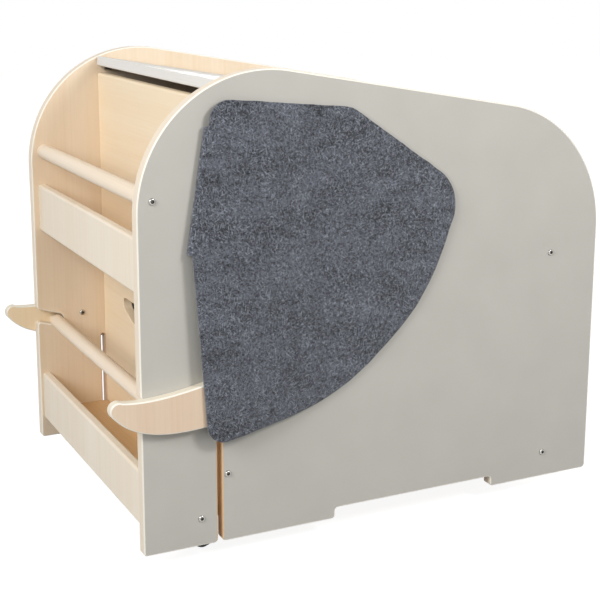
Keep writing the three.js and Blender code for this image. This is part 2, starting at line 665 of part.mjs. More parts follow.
// The divider is the chest's front wall and the bookshelf's back, with the mouth cut through
function mouthShape() {
  const endAt = MOUTH_WIDTH / 2 - MOUTH_END_RADIUS;
  const endHeight = MOUTH_TOP - MOUTH_END_RADIUS;
  const lipReach = MOUTH_LIP_RADIUS - MOUTH_END_RADIUS;
  const lean = Math.asin(endAt / lipReach);
  const lipCentre = endHeight + lipReach * Math.cos(lean);
  const right = arcPoints(endAt, endHeight, MOUTH_END_RADIUS, Math.PI / 2, lean - Math.PI / 2);
  const lip = arcPoints(0, lipCentre, MOUTH_LIP_RADIUS, lean - Math.PI / 2, -lean - Math.PI / 2).slice(1, -1);
  const left = arcPoints(-endAt, endHeight, MOUTH_END_RADIUS, -lean - Math.PI / 2, -1.5 * Math.PI);
  return new THREE.Shape([...right, ...lip, ...left].reverse());
}
const mouth = new THREE.ExtrudeGeometry(mouthShape(), {
  depth: BOARD_THICKNESS + 2 * SLOPPY_CUT,
  bevelEnabled: false,
});
mouth.rotateX(Math.PI / 2).rotateZ(Math.PI / 2).translate(DIVIDER_FRONT - SLOPPY_CUT, 0, 0);
const panelFoot = HOUSING_FLOOR + SEAT_GAP;
const divider = board(DIVIDER_FRONT, DIVIDER_REAR, panelFoot, DIVIDER_TOP, [0, 0, round, round]);
const dividerCuts = [mouth, ...panelScrewHoles, ...dowelsUp(DIVIDER_MIDDLE, SEAT_GAP)];
add(body, 'divider_panel', cut(divider, ...dividerCuts), BIRCH, 0.6);

const rearPanel = board(REAR_PANEL_FRONT, REAR_PANEL_REAR, panelFoot, REAR_PANEL_TOP);
const upperShelf = board(
  UPPER_BOARD_REAR + SEAT_GAP,
  DIVIDER_FRONT - SEAT_GAP,
  UPPER_BOARD_BOTTOM,
  UPPER_SHELF_TOP,
);
const shelfDowels = dowelsForward(UPPER_BOARD_REAR, UPPER_SHELF_MIDDLE);
add(body, 'upper_shelf_floor', joined(cut(upperShelf, ...panelScrewHoles), ...shelfDowels), BIRCH_DARK, 0.6);

const allRound = [round, round, round, round];
const lowerBoard = board(
  LOWER_BOARD_FRONT,
  LOWER_BOARD_REAR,
  LOWER_BOARD_BOTTOM,
  LOWER_BOARD_BOTTOM + LOWER_BOARD_HEIGHT,
  allRound,
);
const lowerDowelHoles = dowelsForward(LOWER_BOARD_REAR, BASE_MIDDLE, SEAT_GAP);
add(body, 'lower_front_board', cut(lowerBoard, ...lowerDowelHoles), BIRCH, 0.55);
const upperBoard = board(
  UPPER_BOARD_FRONT,
  UPPER_BOARD_REAR,
  UPPER_BOARD_BOTTOM,
  UPPER_BOARD_BOTTOM + UPPER_BOARD_HEIGHT,
  allRound,
);
const upperDowelHoles = dowelsForward(UPPER_BOARD_REAR, UPPER_SHELF_MIDDLE, SEAT_GAP);
add(body, 'upper_front_board', cut(upperBoard, ...upperDowelHoles), BIRCH, 0.55);

// Rails: the upper one is screwed between the panels, the lower one has tenons that end in the tusks
const upperRail = barAcross(
  UPPER_RAIL_RADIUS,
  -BOARD_HALF,
  BOARD_HALF,
  UPPER_RAIL_SETBACK,
  UPPER_RAIL_HEIGHT,
);
add(body, 'upper_rail', cut(upperRail, ...panelScrewHoles), BIRCH, 0.5);
const socketEnd = TUSK_BACK + TENON_SOCKET_DEPTH;
const tenonEnd = socketEnd - SEAT_GAP;
const lowerRail = joined(
  barAcross(LOWER_RAIL_RADIUS, -BOARD_HALF, BOARD_HALF, LOWER_RAIL_SETBACK, LOWER_RAIL_HEIGHT),
  barAcross(TENON_RADIUS, -tenonEnd, tenonEnd, LOWER_RAIL_SETBACK, LOWER_RAIL_HEIGHT),
);
add(body, 'lower_rail', lowerRail, BIRCH, 0.5);

// Tusk: a curved board whose root runs back behind the ear
function tuskShape() {
  const shape = new THREE.Shape();
  const tipX = TUSK_TIP_RADIUS - TUSK_REACH;
  const tipZ = TUSK_SCREW_LEVEL + TUSK_TIP_RISE;
  const belly = TUSK_SCREW_LEVEL - TUSK_BELLY_DROP;
  const rootBottom = TUSK_SCREW_LEVEL - TUSK_ROOT_DROP;
  const meetsTipAt = [
    tipX + TUSK_TIP_RADIUS * Math.cos(TUSK_TIP_TOP),
    tipZ + TUSK_TIP_RADIUS * Math.sin(TUSK_TIP_TOP),
  ];
  shape.moveTo(TUSK_ROOT, rootBottom);
  shape.lineTo(TUSK_ROOT, TUSK_ROOT_TOP);
  shape.quadraticCurveTo(TUSK_HOLLOW_AT, TUSK_SCREW_LEVEL + TUSK_HOLLOW_RISE, ...meetsTipAt);
  shape.absarc(tipX, tipZ, TUSK_TIP_RADIUS, TUSK_TIP_TOP, TUSK_TIP_BOTTOM, false);
  shape.quadraticCurveTo(-TUSK_CHIN_REACH, belly, TUSK_BELLY_AT, belly);
  shape.quadraticCurveTo((TUSK_BELLY_AT + TUSK_ROOT) / 2, belly, TUSK_ROOT, rootBottom);
  return shape;
}
const tenonSocket = barAcross(
  TENON_RADIUS + SEAT_GAP,
  -socketEnd,
  SLOPPY_CUT - TUSK_BACK,
  LOWER_RAIL_SETBACK,
  LOWER_RAIL_HEIGHT,
);
const leftTusk = cut(
  across(tuskShape(), -TUSK_FACE, -TUSK_BACK, TUSK_EDGE_ROUND),
  tenonSocket,
  fromInside(screwHole(TUSK_SCREW)),
);
add(body, 'tusk_left', leftTusk, BIRCH, 0.5);
add(body, 'tusk_right', mirrored(leftTusk), BIRCH, 0.5);

// Ears
const leftEar = cut(joined(earSheet(), earFlap()), ...atEarScrews(screwHole));
add(body, 'ear_left', leftEar, FELT_GREY, 0.95);
add(body, 'ear_right', mirrored(leftEar), FELT_GREY, 0.95);

// Screws of the body, each on both sides
function addScrew(place, geometry) {
  add(body, `screw_left_${place}`, geometry, NICKEL, 0.35, 0.9);
  add(body, `screw_right_${place}`, mirrored(geometry), NICKEL, 0.35, 0.9);
}
for (const [place, x, z] of panelScrewPlaces) {
  addScrew(place, fromLeft(screw(PANEL_SCREW), x, z));
}
addScrew('tusk', fromInside(screw(TUSK_SCREW)));
const earScrews = atEarScrews(screw);
addScrew('ear_low', earScrews[0]);
addScrew('ear_high', earScrews[1]);

// Lid rests
const restPaddle = box(
  restEnd,
  restEnd + LID_REST_LENGTH,
  SEAT_GAP - INNER_FACE,
  LID_REST_REACH - INNER_FACE,
  restTop - LID_REST_THICKNESS,
  restTop,
);
const restPin = barAcross(
  LID_REST_PIN_RADIUS,
  -INNER_FACE - LID_REST_PIN_LENGTH,
  SLOPPY_CUT - INNER_FACE,
  restMiddle,
  restAxis,
);
const leftRest = tilted(joined(restPaddle, restPin));
add(body, 'lid_rest_left', leftRest, ZINC, 0.35, 0.9);
add(body, 'lid_rest_right', mirrored(leftRest), ZINC, 0.35, 0.9);

// Lid and hinges. A leaf is drawn hanging down from the axis at the origin, its face level
// with the front of the barrel, and is turned a quarter for the lid's leaf.
const leafFoot = HINGE_BARREL_RADIUS + SEAT_GAP;
const hingeRows = [HINGE_INSET - INNER_FACE, INNER_FACE - HINGE_INSET];
const knuckle = HINGE_WIDTH / 3;
const hingeHalf = HINGE_WIDTH / 2;
function hingeLeaf(knuckles) {
  const face = [-HINGE_BARREL_RADIUS, HINGE_LEAF_THICKNESS - HINGE_BARREL_RADIUS];
  const plate = box(...face, -hingeHalf, hingeHalf, -HINGE_LEAF_LENGTH, -leafFoot);
  const parts = knuckles.flatMap(([from, to]) => [
    box(...face, from, to, -leafFoot, 0),
    barAcross(HINGE_BARREL_RADIUS, from, to, 0, 0),
  ]);
  const bore = barAcross(HINGE_PIN_RADIUS + SEAT_GAP, -HINGE_WIDTH, HINGE_WIDTH, 0, 0);
  return joined(cut(joined(plate, ...parts), bore), ...leafScrewsAs(screw));
}
function leafScrewsAs(make) {
  const seat = HINGE_LEAF_THICKNESS - HINGE_BARREL_RADIUS;
  const height = -(leafFoot + HINGE_LEAF_LENGTH) / 2;
  return [-1, 1].map((side) =>
    make(HINGE_SCREW)
      .rotateZ(-Math.PI / 2)
      .translate(seat, (side * HINGE_SCREW_SPACING) / 2, height),
  );
}
const inRows = (make) => hingeRows.flatMap((y) => make().map((geometry) => geometry.translate(0, y, 0)));
const atHinge = (geometry) => geometry.translate(HINGE_SETBACK, 0, HINGE_HEIGHT);
const turned = (geometry) => geometry.rotateY(Math.PI / 2);

const frameScrewHoles = inRows(() => leafScrewsAs(screwHole)).map(atHinge);
const rearPanelCuts = [...frameScrewHoles, ...panelScrewHoles, ...dowelsUp(REAR_PANEL_MIDDLE, SEAT_GAP)];
add(body, 'rear_panel', cut(rearPanel, ...rearPanelCuts), BIRCH_DARK, 0.6);

const lidShape = roundedShape([
  [-LID_FRONT, LID_UNDERSIDE, LID_EDGE_ROUND],
  [-LID_REAR, LID_UNDERSIDE, 0],
  [-LID_REAR, LID_TOP, LID_EDGE_ROUND],
  [-LID_FRONT, LID_TOP, LID_EDGE_ROUND],
]);
const lidHalf = INNER_FACE - LID_SIDE_GAP;
const lidScrewHoles = inRows(() => leafScrewsAs(screwHole).map(turned));
const lid = new THREE.Group();
lid.position.set(HINGE_SETBACK, 0, HINGE_HEIGHT);
lid.rotation.y = TOP_SLOPE;
body.add(lid);
add(lid, 'lid', cut(across(lidShape, -lidHalf, lidHalf), ...lidScrewHoles), BIRCH, 0.5);

const middleKnuckle = [[-knuckle / 2, knuckle / 2]];
const outerKnuckles = [
  [-hingeHalf, -knuckle / 2 - SEAT_GAP],
  [knuckle / 2 + SEAT_GAP, hingeHalf],
];
const pinHalf = hingeHalf + RIVET_HEAD_THICKNESS;
['left', 'right'].forEach((side, i) => {
  const y = hingeRows[i];
  const frameLeaf = atHinge(hingeLeaf(outerKnuckles)).translate(0, y, 0);
  add(body, `hinge_${side}_frame_leaf`, frameLeaf, NICKEL, 0.35, 0.9);
  const pin = atHinge(barAcross(HINGE_PIN_RADIUS, y - pinHalf, y + pinHalf, 0, 0));
  add(body, `hinge_${side}_pin`, pin, NICKEL, 0.3, 0.9);
  add(lid, `hinge_${side}_lid_leaf`, turned(hingeLeaf(middleKnuckle)).translate(0, y, 0), NICKEL, 0.35, 0.9);
});

// Castor, drawn with z = 0 on the floor under its swivel axis and the wheel trailing along +x
const plateTop = CASTOR_HEIGHT;
const plateBottom = plateTop - CASTOR_PLATE_THICKNESS;
const domeBottom = plateBottom - CASTOR_DOME_HEIGHT;
const crownTop = domeBottom - CASTOR_BALL_RADIUS - SEAT_GAP;
const crownBottom = crownTop - FORK_CROWN_THICKNESS;
const rivetTop = crownBottom - SEAT_GAP;
const cheekInside = WHEEL_WIDTH / 2 + RUNNING_GAP;
const cheekOutside = cheekInside + FORK_CHEEK_THICKNESS;

// The plate with all that is riveted or screwed to it: dome, balls, kingpin and wood screws
function castorPlate() {
  const half = CASTOR_PLATE_SIZE / 2;
  const plate = box(-half, half, -half, half, plateBottom, plateTop);
  const dome = barUp(CASTOR_DOME_RADIUS, domeBottom, plateBottom + CASTOR_PLATE_THICKNESS / 2, 0, 0);
  const kingpin = barUp(KINGPIN_RADIUS, rivetTop - RIVET_HEAD_THICKNESS, plateBottom, 0, 0);
  const rivetRadius = KINGPIN_RADIUS + RIVET_HEAD_OVERHANG;
  const rivetHead = barUp(rivetRadius, rivetTop - RIVET_HEAD_THICKNESS, rivetTop, 0, 0);
  const screws = plateCorners.map(([x, y]) =>
    screw(CASTOR_SCREW).rotateX(-Math.PI / 2).translate(x, y, plateBottom),
  );
  return joined(plate, dome, kingpin, rivetHead, ...castorBalls(), ...screws);
}

function castorBalls() {
  const height = crownTop + SEAT_GAP + CASTOR_BALL_RADIUS;
  return Array.from({ length: CASTOR_BALL_COUNT }, (_, i) => {
    const angle = (2 * Math.PI * i) / CASTOR_BALL_COUNT;
    const ball = new THREE.IcosahedronGeometry(CASTOR_BALL_RADIUS, 0);
    return ball.translate(CASTOR_BALL_CIRCLE * Math.cos(angle), CASTOR_BALL_CIRCLE * Math.sin(angle), height);
  });
}

// A rivet with a head at each end, upright
function rivet(radius, bottom, top) {
  const head = radius + RIVET_HEAD_OVERHANG;
  const lap = RIVET_HEAD_THICKNESS;
  const profile = [
    [0, bottom],
    [head, bottom],
    [head, bottom + lap],
    [radius, bottom + lap],
    [radius, top - lap],
    [head, top - lap],
    [head, top],
    [0, top],
  ];
  return lathed(profile, RIVET_SIDES).rotateX(Math.PI / 2);
}

function castorFork() {
  const crown = barUp(FORK_CROWN_RADIUS, crownBottom, crownTop, 0, 0);
  const cheekShape = roundedShape([
    [-FORK_CHEEK_LENGTH, crownBottom + FORK_CROWN_THICKNESS / 2, 0],
    [-FORK_CHEEK_LENGTH, WHEEL_RADIUS + FORK_EYE_RADIUS, FORK_EYE_RADIUS],
    [CASTOR_TRAIL - FORK_EYE_RADIUS, WHEEL_RADIUS - FORK_EYE_RADIUS, FORK_EYE_ROUND],
    [CASTOR_TRAIL + FORK_EYE_RADIUS, WHEEL_RADIUS - FORK_EYE_RADIUS, FORK_EYE_ROUND],
    [CASTOR_TRAIL + FORK_EYE_RADIUS, WHEEL_RADIUS + FORK_EYE_RADIUS, FORK_EYE_ROUND],
    [FORK_CHEEK_LENGTH, crownBottom + FORK_CROWN_THICKNESS / 2, 0],
  ]);
  const cheeks = [
    across(cheekShape, cheekInside, cheekOutside),
    across(cheekShape, -cheekOutside, -cheekInside),
  ];
  const kingpinHole = barUp(KINGPIN_RADIUS + SEAT_GAP, crownBottom - SLOPPY_CUT, crownTop + SLOPPY_CUT, 0, 0);
  const axleHole = barAcross(AXLE_RADIUS + SEAT_GAP, -WHEEL_WIDTH, WHEEL_WIDTH, CASTOR_TRAIL, WHEEL_RADIUS);
  return cut(joined(crown, ...cheeks), kingpinHole, axleHole);
}

// Wheel section from the bore out: hub, recessed web, rim and rounded tread
function castorWheel() {
  const half = WHEEL_WIDTH / 2;
  const bore = AXLE_RADIUS + SEAT_GAP;
  const rim = WHEEL_RADIUS - WHEEL_RIM_WALL;
  const side = [
    [bore, half],
    [AXLE_RADIUS + WHEEL_HUB_WALL, half],
    [rim - WHEEL_RIM_BEVEL, half - WHEEL_WEB_RECESS],
    [rim, half],
    [WHEEL_RADIUS, half - WHEEL_TREAD_ROUND],
  ];
  const section = [...side.map(([r, y]) => [r, -y]), ...side.toReversed(), [bore, -half]];
  return lathed(section, WHEEL_SIDES);
}

for (const [place, x, y, heading] of castorPlaces) {
  const castor = new THREE.Group();
  castor.position.set(x, y, -PANEL_LIFT);
  body.add(castor);
  add(castor, `castor_${place}_plate`, castorPlate(), ZINC, 0.4, 0.9);
  const swivel = new THREE.Group();
  swivel.rotation.z = heading;
  castor.add(swivel);
  add(swivel, `castor_${place}_fork`, castorFork(), ZINC, 0.4, 0.9);
  const axleEnd = cheekOutside + SEAT_GAP + RIVET_HEAD_THICKNESS;
  const axle = rivet(AXLE_RADIUS, -axleEnd, axleEnd).rotateX(Math.PI / 2);
  axle.translate(CASTOR_TRAIL, 0, WHEEL_RADIUS);
  add(swivel, `castor_${place}_axle`, axle, ZINC, 0.4, 0.9);
  const wheel = castorWheel().translate(CASTOR_TRAIL, 0, WHEEL_RADIUS);
  add(swivel, `castor_${place}_wheel`, wheel, CASTOR_BLACK, 0.5);
}

export default object;
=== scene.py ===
import json
import math

import bmesh
import bpy
from mathutils import Matrix, Vector, noise


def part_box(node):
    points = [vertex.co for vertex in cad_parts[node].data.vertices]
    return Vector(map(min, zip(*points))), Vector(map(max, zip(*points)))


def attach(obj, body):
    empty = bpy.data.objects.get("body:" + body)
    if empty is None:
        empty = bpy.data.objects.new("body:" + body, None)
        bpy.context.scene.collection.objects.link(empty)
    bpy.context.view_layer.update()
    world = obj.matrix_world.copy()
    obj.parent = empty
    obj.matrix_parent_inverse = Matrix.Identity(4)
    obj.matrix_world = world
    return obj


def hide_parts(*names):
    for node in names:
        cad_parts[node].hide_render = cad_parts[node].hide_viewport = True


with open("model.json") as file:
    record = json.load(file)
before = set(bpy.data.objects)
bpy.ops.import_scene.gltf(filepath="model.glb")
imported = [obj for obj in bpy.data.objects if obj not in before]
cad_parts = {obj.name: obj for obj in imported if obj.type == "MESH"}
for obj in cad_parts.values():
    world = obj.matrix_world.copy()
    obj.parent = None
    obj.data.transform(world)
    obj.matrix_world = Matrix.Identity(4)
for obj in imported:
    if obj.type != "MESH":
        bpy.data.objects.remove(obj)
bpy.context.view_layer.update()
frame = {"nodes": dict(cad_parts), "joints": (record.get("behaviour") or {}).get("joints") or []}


# Room and camera. A white room with a pale floor, where three softboxes give an even, plain
# light. Whatever the camera, a reflection or glass sees of the room is white.
def linear(red, green, blue):
    """A screen colour from 0 to 255 as the colour that the renderer works in."""
    steps = [c / 255 for c in (red, green, blue)]
    return [*(c / 12.92 if c < 0.04 else ((c + 0.055) / 1.055) ** 2.4 for c in steps), 1]


def emptied(owner):
    """The node tree of a world or material, with nothing in it."""
    owner.use_nodes = True
    owner.node_tree.nodes.clear()
    return owner.node_tree


def put(tree, kind, sockets=None, **settings):
    """One node with its settings, and its sockets linked or set."""
    made = tree.nodes.new("ShaderNode" + kind)
    for key, value in settings.items():
        setattr(made, key, value)
    for key, value in (sockets or {}).items():
        if isinstance(value, bpy.types.NodeSocket):
            tree.links.new(value, made.inputs[key])
        else:
            made.inputs[key].default_value = value
    return made


def combined(tree, first, second, how="ADD"):
    """Two values added, or put together in the way that is named."""
    return put(tree, "Math", {0: first, 1: second}, operation=how).outputs[0]


def seen_directly(tree):
    """1 where the camera, a reflection or glass sees the surface, and 0 for its light on others."""
    path = put(tree, "LightPath").outputs
    seen = combined(tree, path["Is Camera Ray"], path["Is Glossy Ray"], "MAXIMUM")
    return combined(tree, seen, path["Is Transmission Ray"], "MAXIMUM")


ROOM_LIGHT = 0.51
WHITE = (1, 1, 1, 1)
world = bpy.data.worlds.new("white_room")
room = emptied(world)
white = put(room, "Background", {"Color": WHITE, "Strength": 1})
dimmed = put(room, "Background", {"Color": WHITE, "Strength": ROOM_LIGHT})
walls = put(room, "MixShader", {0: seen_directly(room), 1: dimmed.outputs[0], 2: white.outputs[0]})
put(room, "OutputWorld", {"Surface": walls.outputs[0]})
bpy.context.scene.world = world
bpy.context.scene.view_settings.view_transform = "Standard"

CAMERA_PLACE = (-0.7164, -1.4625, 0.6566)
CAMERA_PITCH = math.radians(12.09)
CAMERA_YAW = math.radians(25.8)
camera_data = bpy.data.cameras.new("camera")
camera_data.lens = 77.83
camera_data.shift_x = 0.0275
camera_data.shift_y = -0.0993
camera_data.clip_start = 0.05
camera = bpy.data.objects.new("camera", camera_data)
camera.location = CAMERA_PLACE
camera.rotation_euler = (math.pi / 2 - CAMERA_PITCH, 0, -CAMERA_YAW)
bpy.context.scene.collection.objects.link(camera)
bpy.context.scene.camera = camera


def softbox(name, place, target, width, power):
    data = bpy.data.lights.new(name, "AREA")
    data.size = width
    data.energy = power
    lamp = bpy.data.objects.new(name, data)
    lamp.location = place
    lamp.rotation_euler = (Vector(target) - Vector(place)).to_track_quat("-Z", "Y").to_euler()
    bpy.context.scene.collection.objects.link(lamp)


softbox("softbox_right", (0.55, -1.42, 1.22), (0, -0.1, 0.35), width=0.4, power=12.7)
softbox("softbox_front", (-1.75, -0.9, 1.3), (-0.2, 0, 0.35), width=0.9, power=27.5)
softbox("softbox_rear", (0.9, 2.1, 0.35), (0, 0.1, 0.3), width=0.7, power=20)


def fresh(adder, name, **place):
    """A new primitive, alone selected, whose place is put into its mesh."""
    bpy.ops.object.select_all(action="DESELECT")
    adder(**place)
    bpy.ops.object.transform_apply(location=True, rotation=True, scale=True)
    piece = bpy.context.object
    piece.name = piece.data.name = name
    return piece


FLOOR_SIZE = 12
PAPER_GREY = 0.27
PAPER_GLOW = 0.9
floor = fresh(bpy.ops.mesh.primitive_plane_add, "floor", size=FLOOR_SIZE)
floor_paper = bpy.data.materials.new("floor")
paving = emptied(floor_paper)
matt = put(paving, "BsdfDiffuse", {"Color": (PAPER_GREY, PAPER_GREY, PAPER_GREY, 1)})
glow = combined(paving, seen_directly(paving), PAPER_GLOW, "MULTIPLY")
lit_paper = put(paving, "Emission", {"Color": WHITE, "Strength": glow})
paper = put(paving, "AddShader", {0: matt.outputs[0], 1: lit_paper.outputs[0]})
put(paving, "OutputMaterial", {"Surface": paper.outputs[0]})
floor.data.materials.append(floor_paper)


# Side panels. Two 15 mm birch boards sawn to the animal's outline, with a trunk slot, a belly cut
# and a notch for the tusk rail. The outside is painted warm grey; the inner face and the edges are
# bare, clear-coated wood. Painted highlight: the rounds take a paler, near white wood. Painted
# shade: the walls of the narrow slot take a darker, golden wood.
PANEL_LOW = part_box("side_panel_left")[0]
FRONT = PANEL_LOW.x
FOOT = PANEL_LOW.z
OUTER = -PANEL_LOW.y
PANEL_THICKNESS = 0.015
PANEL_LENGTH = 0.6
HEAD_HEIGHT = 0.555
SLOPE = math.radians(9.9)
RUMP_HEIGHT = HEAD_HEIGHT - PANEL_LENGTH * math.tan(SLOPE)
INNER = OUTER - PANEL_THICKNESS
MERGED = 1e-6


def extrude(step):
    """In edit mode, draws out what is selected by a step (x, y, z)."""
    bpy.ops.mesh.extrude_region_move(TRANSFORM_OT_translate={"value": step})


def pen_line(to, pen):
    """Draws from the pen's place to the next one, in the upright plane."""
    step = to - pen
    if step.length > MERGED:
        extrude((step.x, 0, step.y))
    return to


def turn_at(corners, i):
    """Where a corner's round starts, its centre, where it ends, and the angle that it turns."""
    x, z, radius = corners[i]
    corner = Vector((x, z))
    back = (Vector(corners[i - 1][:2]) - corner).normalized()
    ahead = (Vector(corners[(i + 1) % len(corners)][:2]) - corner).normalized()
    half_angle = back.angle(ahead) / 2
    centre = corner + (back + ahead).normalized() * radius / math.sin(half_angle)
    reach = radius / math.tan(half_angle)
    left = math.copysign(1, back.y * ahead.x - back.x * ahead.y)
    angle = left * (math.pi - 2 * half_angle)
    return corner + back * reach, centre, corner + ahead * reach, angle


def cut_out(name, corners, y, depth, arc_step=0.0015):
    """A board sawn to an outline of corners (x, z, radius) and run across from y by depth."""
    turns = [turn_at(corners, i) for i in range(len(corners))]
    pen = turns[0][0]
    piece = fresh(bpy.ops.mesh.primitive_plane_add, name, size=0.001, location=(pen.x, y, pen.y))
    bpy.ops.object.mode_set(mode="EDIT")
    bpy.ops.mesh.select_mode(type="VERT")
    bpy.ops.mesh.select_all(action="SELECT")
    bpy.ops.mesh.merge(type="CENTER")
    for (first, centre, last, angle), (_, _, radius) in zip(turns, corners):
        pen = pen_line(first, pen)
        if radius:
            steps = max(4, min(64, round(abs(angle) * radius / arc_step)))
            middle = (centre.x, y, centre.y)
            bpy.ops.mesh.spin(steps=steps, angle=angle, center=middle, axis=(0, 1, 0))
            pen = last
    bpy.ops.mesh.select_all(action="SELECT")
    bpy.ops.mesh.remove_doubles(threshold=MERGED)
    bpy.ops.mesh.select_all(action="DESELECT")
    # Where the outline's two ends don't meet, an edge joins them
    drawn = bmesh.from_edit_mesh(piece.data)
    for vert in drawn.verts:
        vert.select = len(vert.link_edges) == 1
    drawn.select_flush(True)
    bmesh.update_edit_mesh(piece.data)
    if any(vert.select for vert in drawn.verts):
        bpy.ops.mesh.edge_face_add()
    bpy.ops.mesh.select_all(action="SELECT")
    bpy.ops.mesh.edge_face_add()
    extrude((0, depth, 0))
    outward(piece)
    return piece


def outward(piece):
    """Turns every face of a closed piece outwards."""
    bpy.context.view_layer.objects.active = piece
    bpy.ops.object.mode_set(mode="EDIT")
    bpy.ops.mesh.select_all(action="SELECT")
    bpy.ops.mesh.normals_make_consistent(inside=False)
    bpy.ops.object.mode_set(mode="OBJECT")


def same(a, b):
    return abs(a - b) < 1e-5


def round_over(piece, radius, steps, chosen):
    """Rounds the edges whose two ends pass the test."""
    bpy.context.view_layer.objects.active = piece
    bpy.ops.object.mode_set(mode="EDIT")
    bpy.ops.mesh.select_mode(type="EDGE")
    bpy.ops.mesh.select_all(action="DESELECT")
    shape = bmesh.from_edit_mesh(piece.data)
    for edge in shape.edges:
        edge.select = chosen(*(v.co for v in edge.verts))
    bmesh.update_edit_mesh(piece.data)
    bpy.ops.mesh.bevel(
        offset=radius, segments=steps, profile=0.5, affect="EDGES", clamp_overlap=False
    )
    bpy.ops.object.mode_set(mode="OBJECT")


def round_rim(piece, *faces, radius=0.0015, steps=4):
    """Rounds the rim of each of a board's two faces, given by where it lies across."""
    for face in faces:
        round_over(piece, radius, steps, lambda a, b: same(a.y, face) and same(b.y, face))


def copy_of(piece, name, placed):
    """A copy with a mesh of its own, put in its place by a matrix."""
    twin = piece.copy()
    twin.data = piece.data.copy()
    twin.name = twin.data.name = name
    bpy.context.scene.collection.objects.link(twin)
    twin.data.transform(placed)
    return twin


def mirrored(piece, name):
    """The same piece for the other side."""
    twin = copy_of(piece, name, Matrix.Scale(-1, 4, (0, 1, 0)))
    outward(twin)
    return twin


SLOT_REAR = 0.0934
SLOT_WIDTH = 0.0057
SLOT_FRONT = SLOT_REAR - SLOT_WIDTH
SLOT_HEIGHT = 0.136
SLOT_END = SLOT_WIDTH * 0.48
LEG_REAR = 0.236
HIND_LEG = 0.454
BELLY = 0.013
TOE_CORNER = 0.0035
LEG_CORNER = 0.004
HEEL_CORNER = 0.005
RUMP_CORNER = 0.16
BROW_CORNER = 0.15
NOTCH_DEEP = 0.036
NOTCH_MOUTH_LOW = 0.1632
NOTCH_MOUTH_HIGH = 0.181
NOTCH_END_LOW = 0.1536
NOTCH_END_HIGH = 0.1695
NOTCH_END = (NOTCH_END_HIGH - NOTCH_END_LOW) * 0.48
NOTCH_CORNER = 0.004
PANEL_CORNERS = [
    (0, 0, TOE_CORNER),
    (SLOT_FRONT, 0, LEG_CORNER),
    (SLOT_FRONT, SLOT_HEIGHT, SLOT_END),
    (SLOT_REAR, SLOT_HEIGHT, SLOT_END),
    (SLOT_REAR, 0, LEG_CORNER),
    (LEG_REAR, 0, LEG_CORNER),
    (LEG_REAR, BELLY, LEG_CORNER),
    (HIND_LEG, BELLY, LEG_CORNER),
    (HIND_LEG, 0, LEG_CORNER),
    (PANEL_LENGTH, 0, HEEL_CORNER),
    (PANEL_LENGTH, RUMP_HEIGHT, RUMP_CORNER),
    (0, HEAD_HEIGHT, BROW_CORNER),
    (0, NOTCH_MOUTH_HIGH, NOTCH_CORNER),
    (NOTCH_DEEP, NOTCH_END_HIGH, NOTCH_END),
    (NOTCH_DEEP, NOTCH_END_LOW, NOTCH_END),
    (0, NOTCH_MOUTH_LOW, NOTCH_CORNER),
]
panel_corners = [(x + FRONT, z + FOOT, radius) for x, z, radius in PANEL_CORNERS]
panel_left = cut_out("panel_left", panel_corners, -OUTER, PANEL_THICKNESS)
round_rim(panel_left, -OUTER, -INNER)
panel_right = mirrored(panel_left, "panel_right")


def group(name, inputs, outputs):
    """A shader node group with named sockets: its tree, inner inputs and inner outputs."""
    tree = bpy.data.node_groups.new(name, "ShaderNodeTree")
    kinds = {float: "NodeSocketFloat", tuple: "NodeSocketVector", list: "NodeSocketColor"}
    for title, value in inputs.items():
        made = tree.interface.new_socket(name=title, in_out="INPUT", socket_type=kinds[type(value)])
        made.default_value = value
    for title, kind in outputs.items():
        tree.interface.new_socket(name=title, in_out="OUTPUT", socket_type=kinds[kind])
    inner = tree.nodes.new("NodeGroupInput").outputs
    return tree, inner, tree.nodes.new("NodeGroupOutput").inputs


def mixed(tree, share, first, second, how="MIX"):
    """The colour between two colours, from the colour sockets of a mix node: 0, 6, 7 and 2."""
    made = put(tree, "Mix", data_type="RGBA", blend_type=how)
    for index, value in ((0, share), (6, first), (7, second)):
        if isinstance(value, bpy.types.NodeSocket):
            tree.links.new(value, made.inputs[index])
        else:
            made.inputs[index].default_value = value
    return made.outputs[2]


def scaled(tree, point, by):
    return put(tree, "VectorMath", {0: point, 1: by}, operation="MULTIPLY").outputs[0]


def cloud(tree, point, scale=1.0, detail=2.0, rough=0.5):
    """A soft random value between 0 and 1."""
    sockets = {"Vector": point, "Scale": scale, "Detail": detail, "Roughness": rough}
    return put(tree, "TexNoise", sockets).outputs["Fac"]


def spread(tree, value, low, high, to_low=0.0, to_high=1.0):
    """The value moved from one range to another and held inside it."""
    return put(tree, "MapRange", {0: value, 1: low, 2: high, 3: to_low, 4: to_high}).outputs[0]


# Sawn birch: fine streaks along the grain, slow bands from light to dark, and short pores
grain, wood_in, wood_out = group(
    "birch_grain",
    {
        "Point": (0.0, 0.0, 0.0),
        "Streaks per metre": (400.0, 400.0, 6.0),
        "Pale": [1, 1, 1, 1],
        "Tan": [1, 1, 1, 1],
    },
    {"Colour": list, "Height": float, "Dull": float},
)
streak_point = scaled(grain, wood_in["Point"], wood_in["Streaks per metre"])
band_point = scaled(grain, streak_point, (0.09, 0.09, 0.09))
pore_point = scaled(grain, streak_point, (2.3, 2.3, 2.3))
streaks = cloud(grain, streak_point, detail=4.0, rough=0.62)
bands = cloud(grain, band_point, detail=3.0)
pores = spread(grain, cloud(grain, pore_point, detail=1.0), 0.64, 0.74)
streak_tone = spread(grain, streaks, 0.25, 0.75, 0.0, 0.45)
band_tone = spread(grain, bands, 0.3, 0.7, 0.0, 0.55)
tone = combined(grain, streak_tone, band_tone)
sanded = mixed(grain, tone, wood_in["Pale"], wood_in["Tan"])
pore_tone = combined(grain, pores, 0.12, "MULTIPLY")
pore_depth = combined(grain, pores, 0.6, "MULTIPLY")
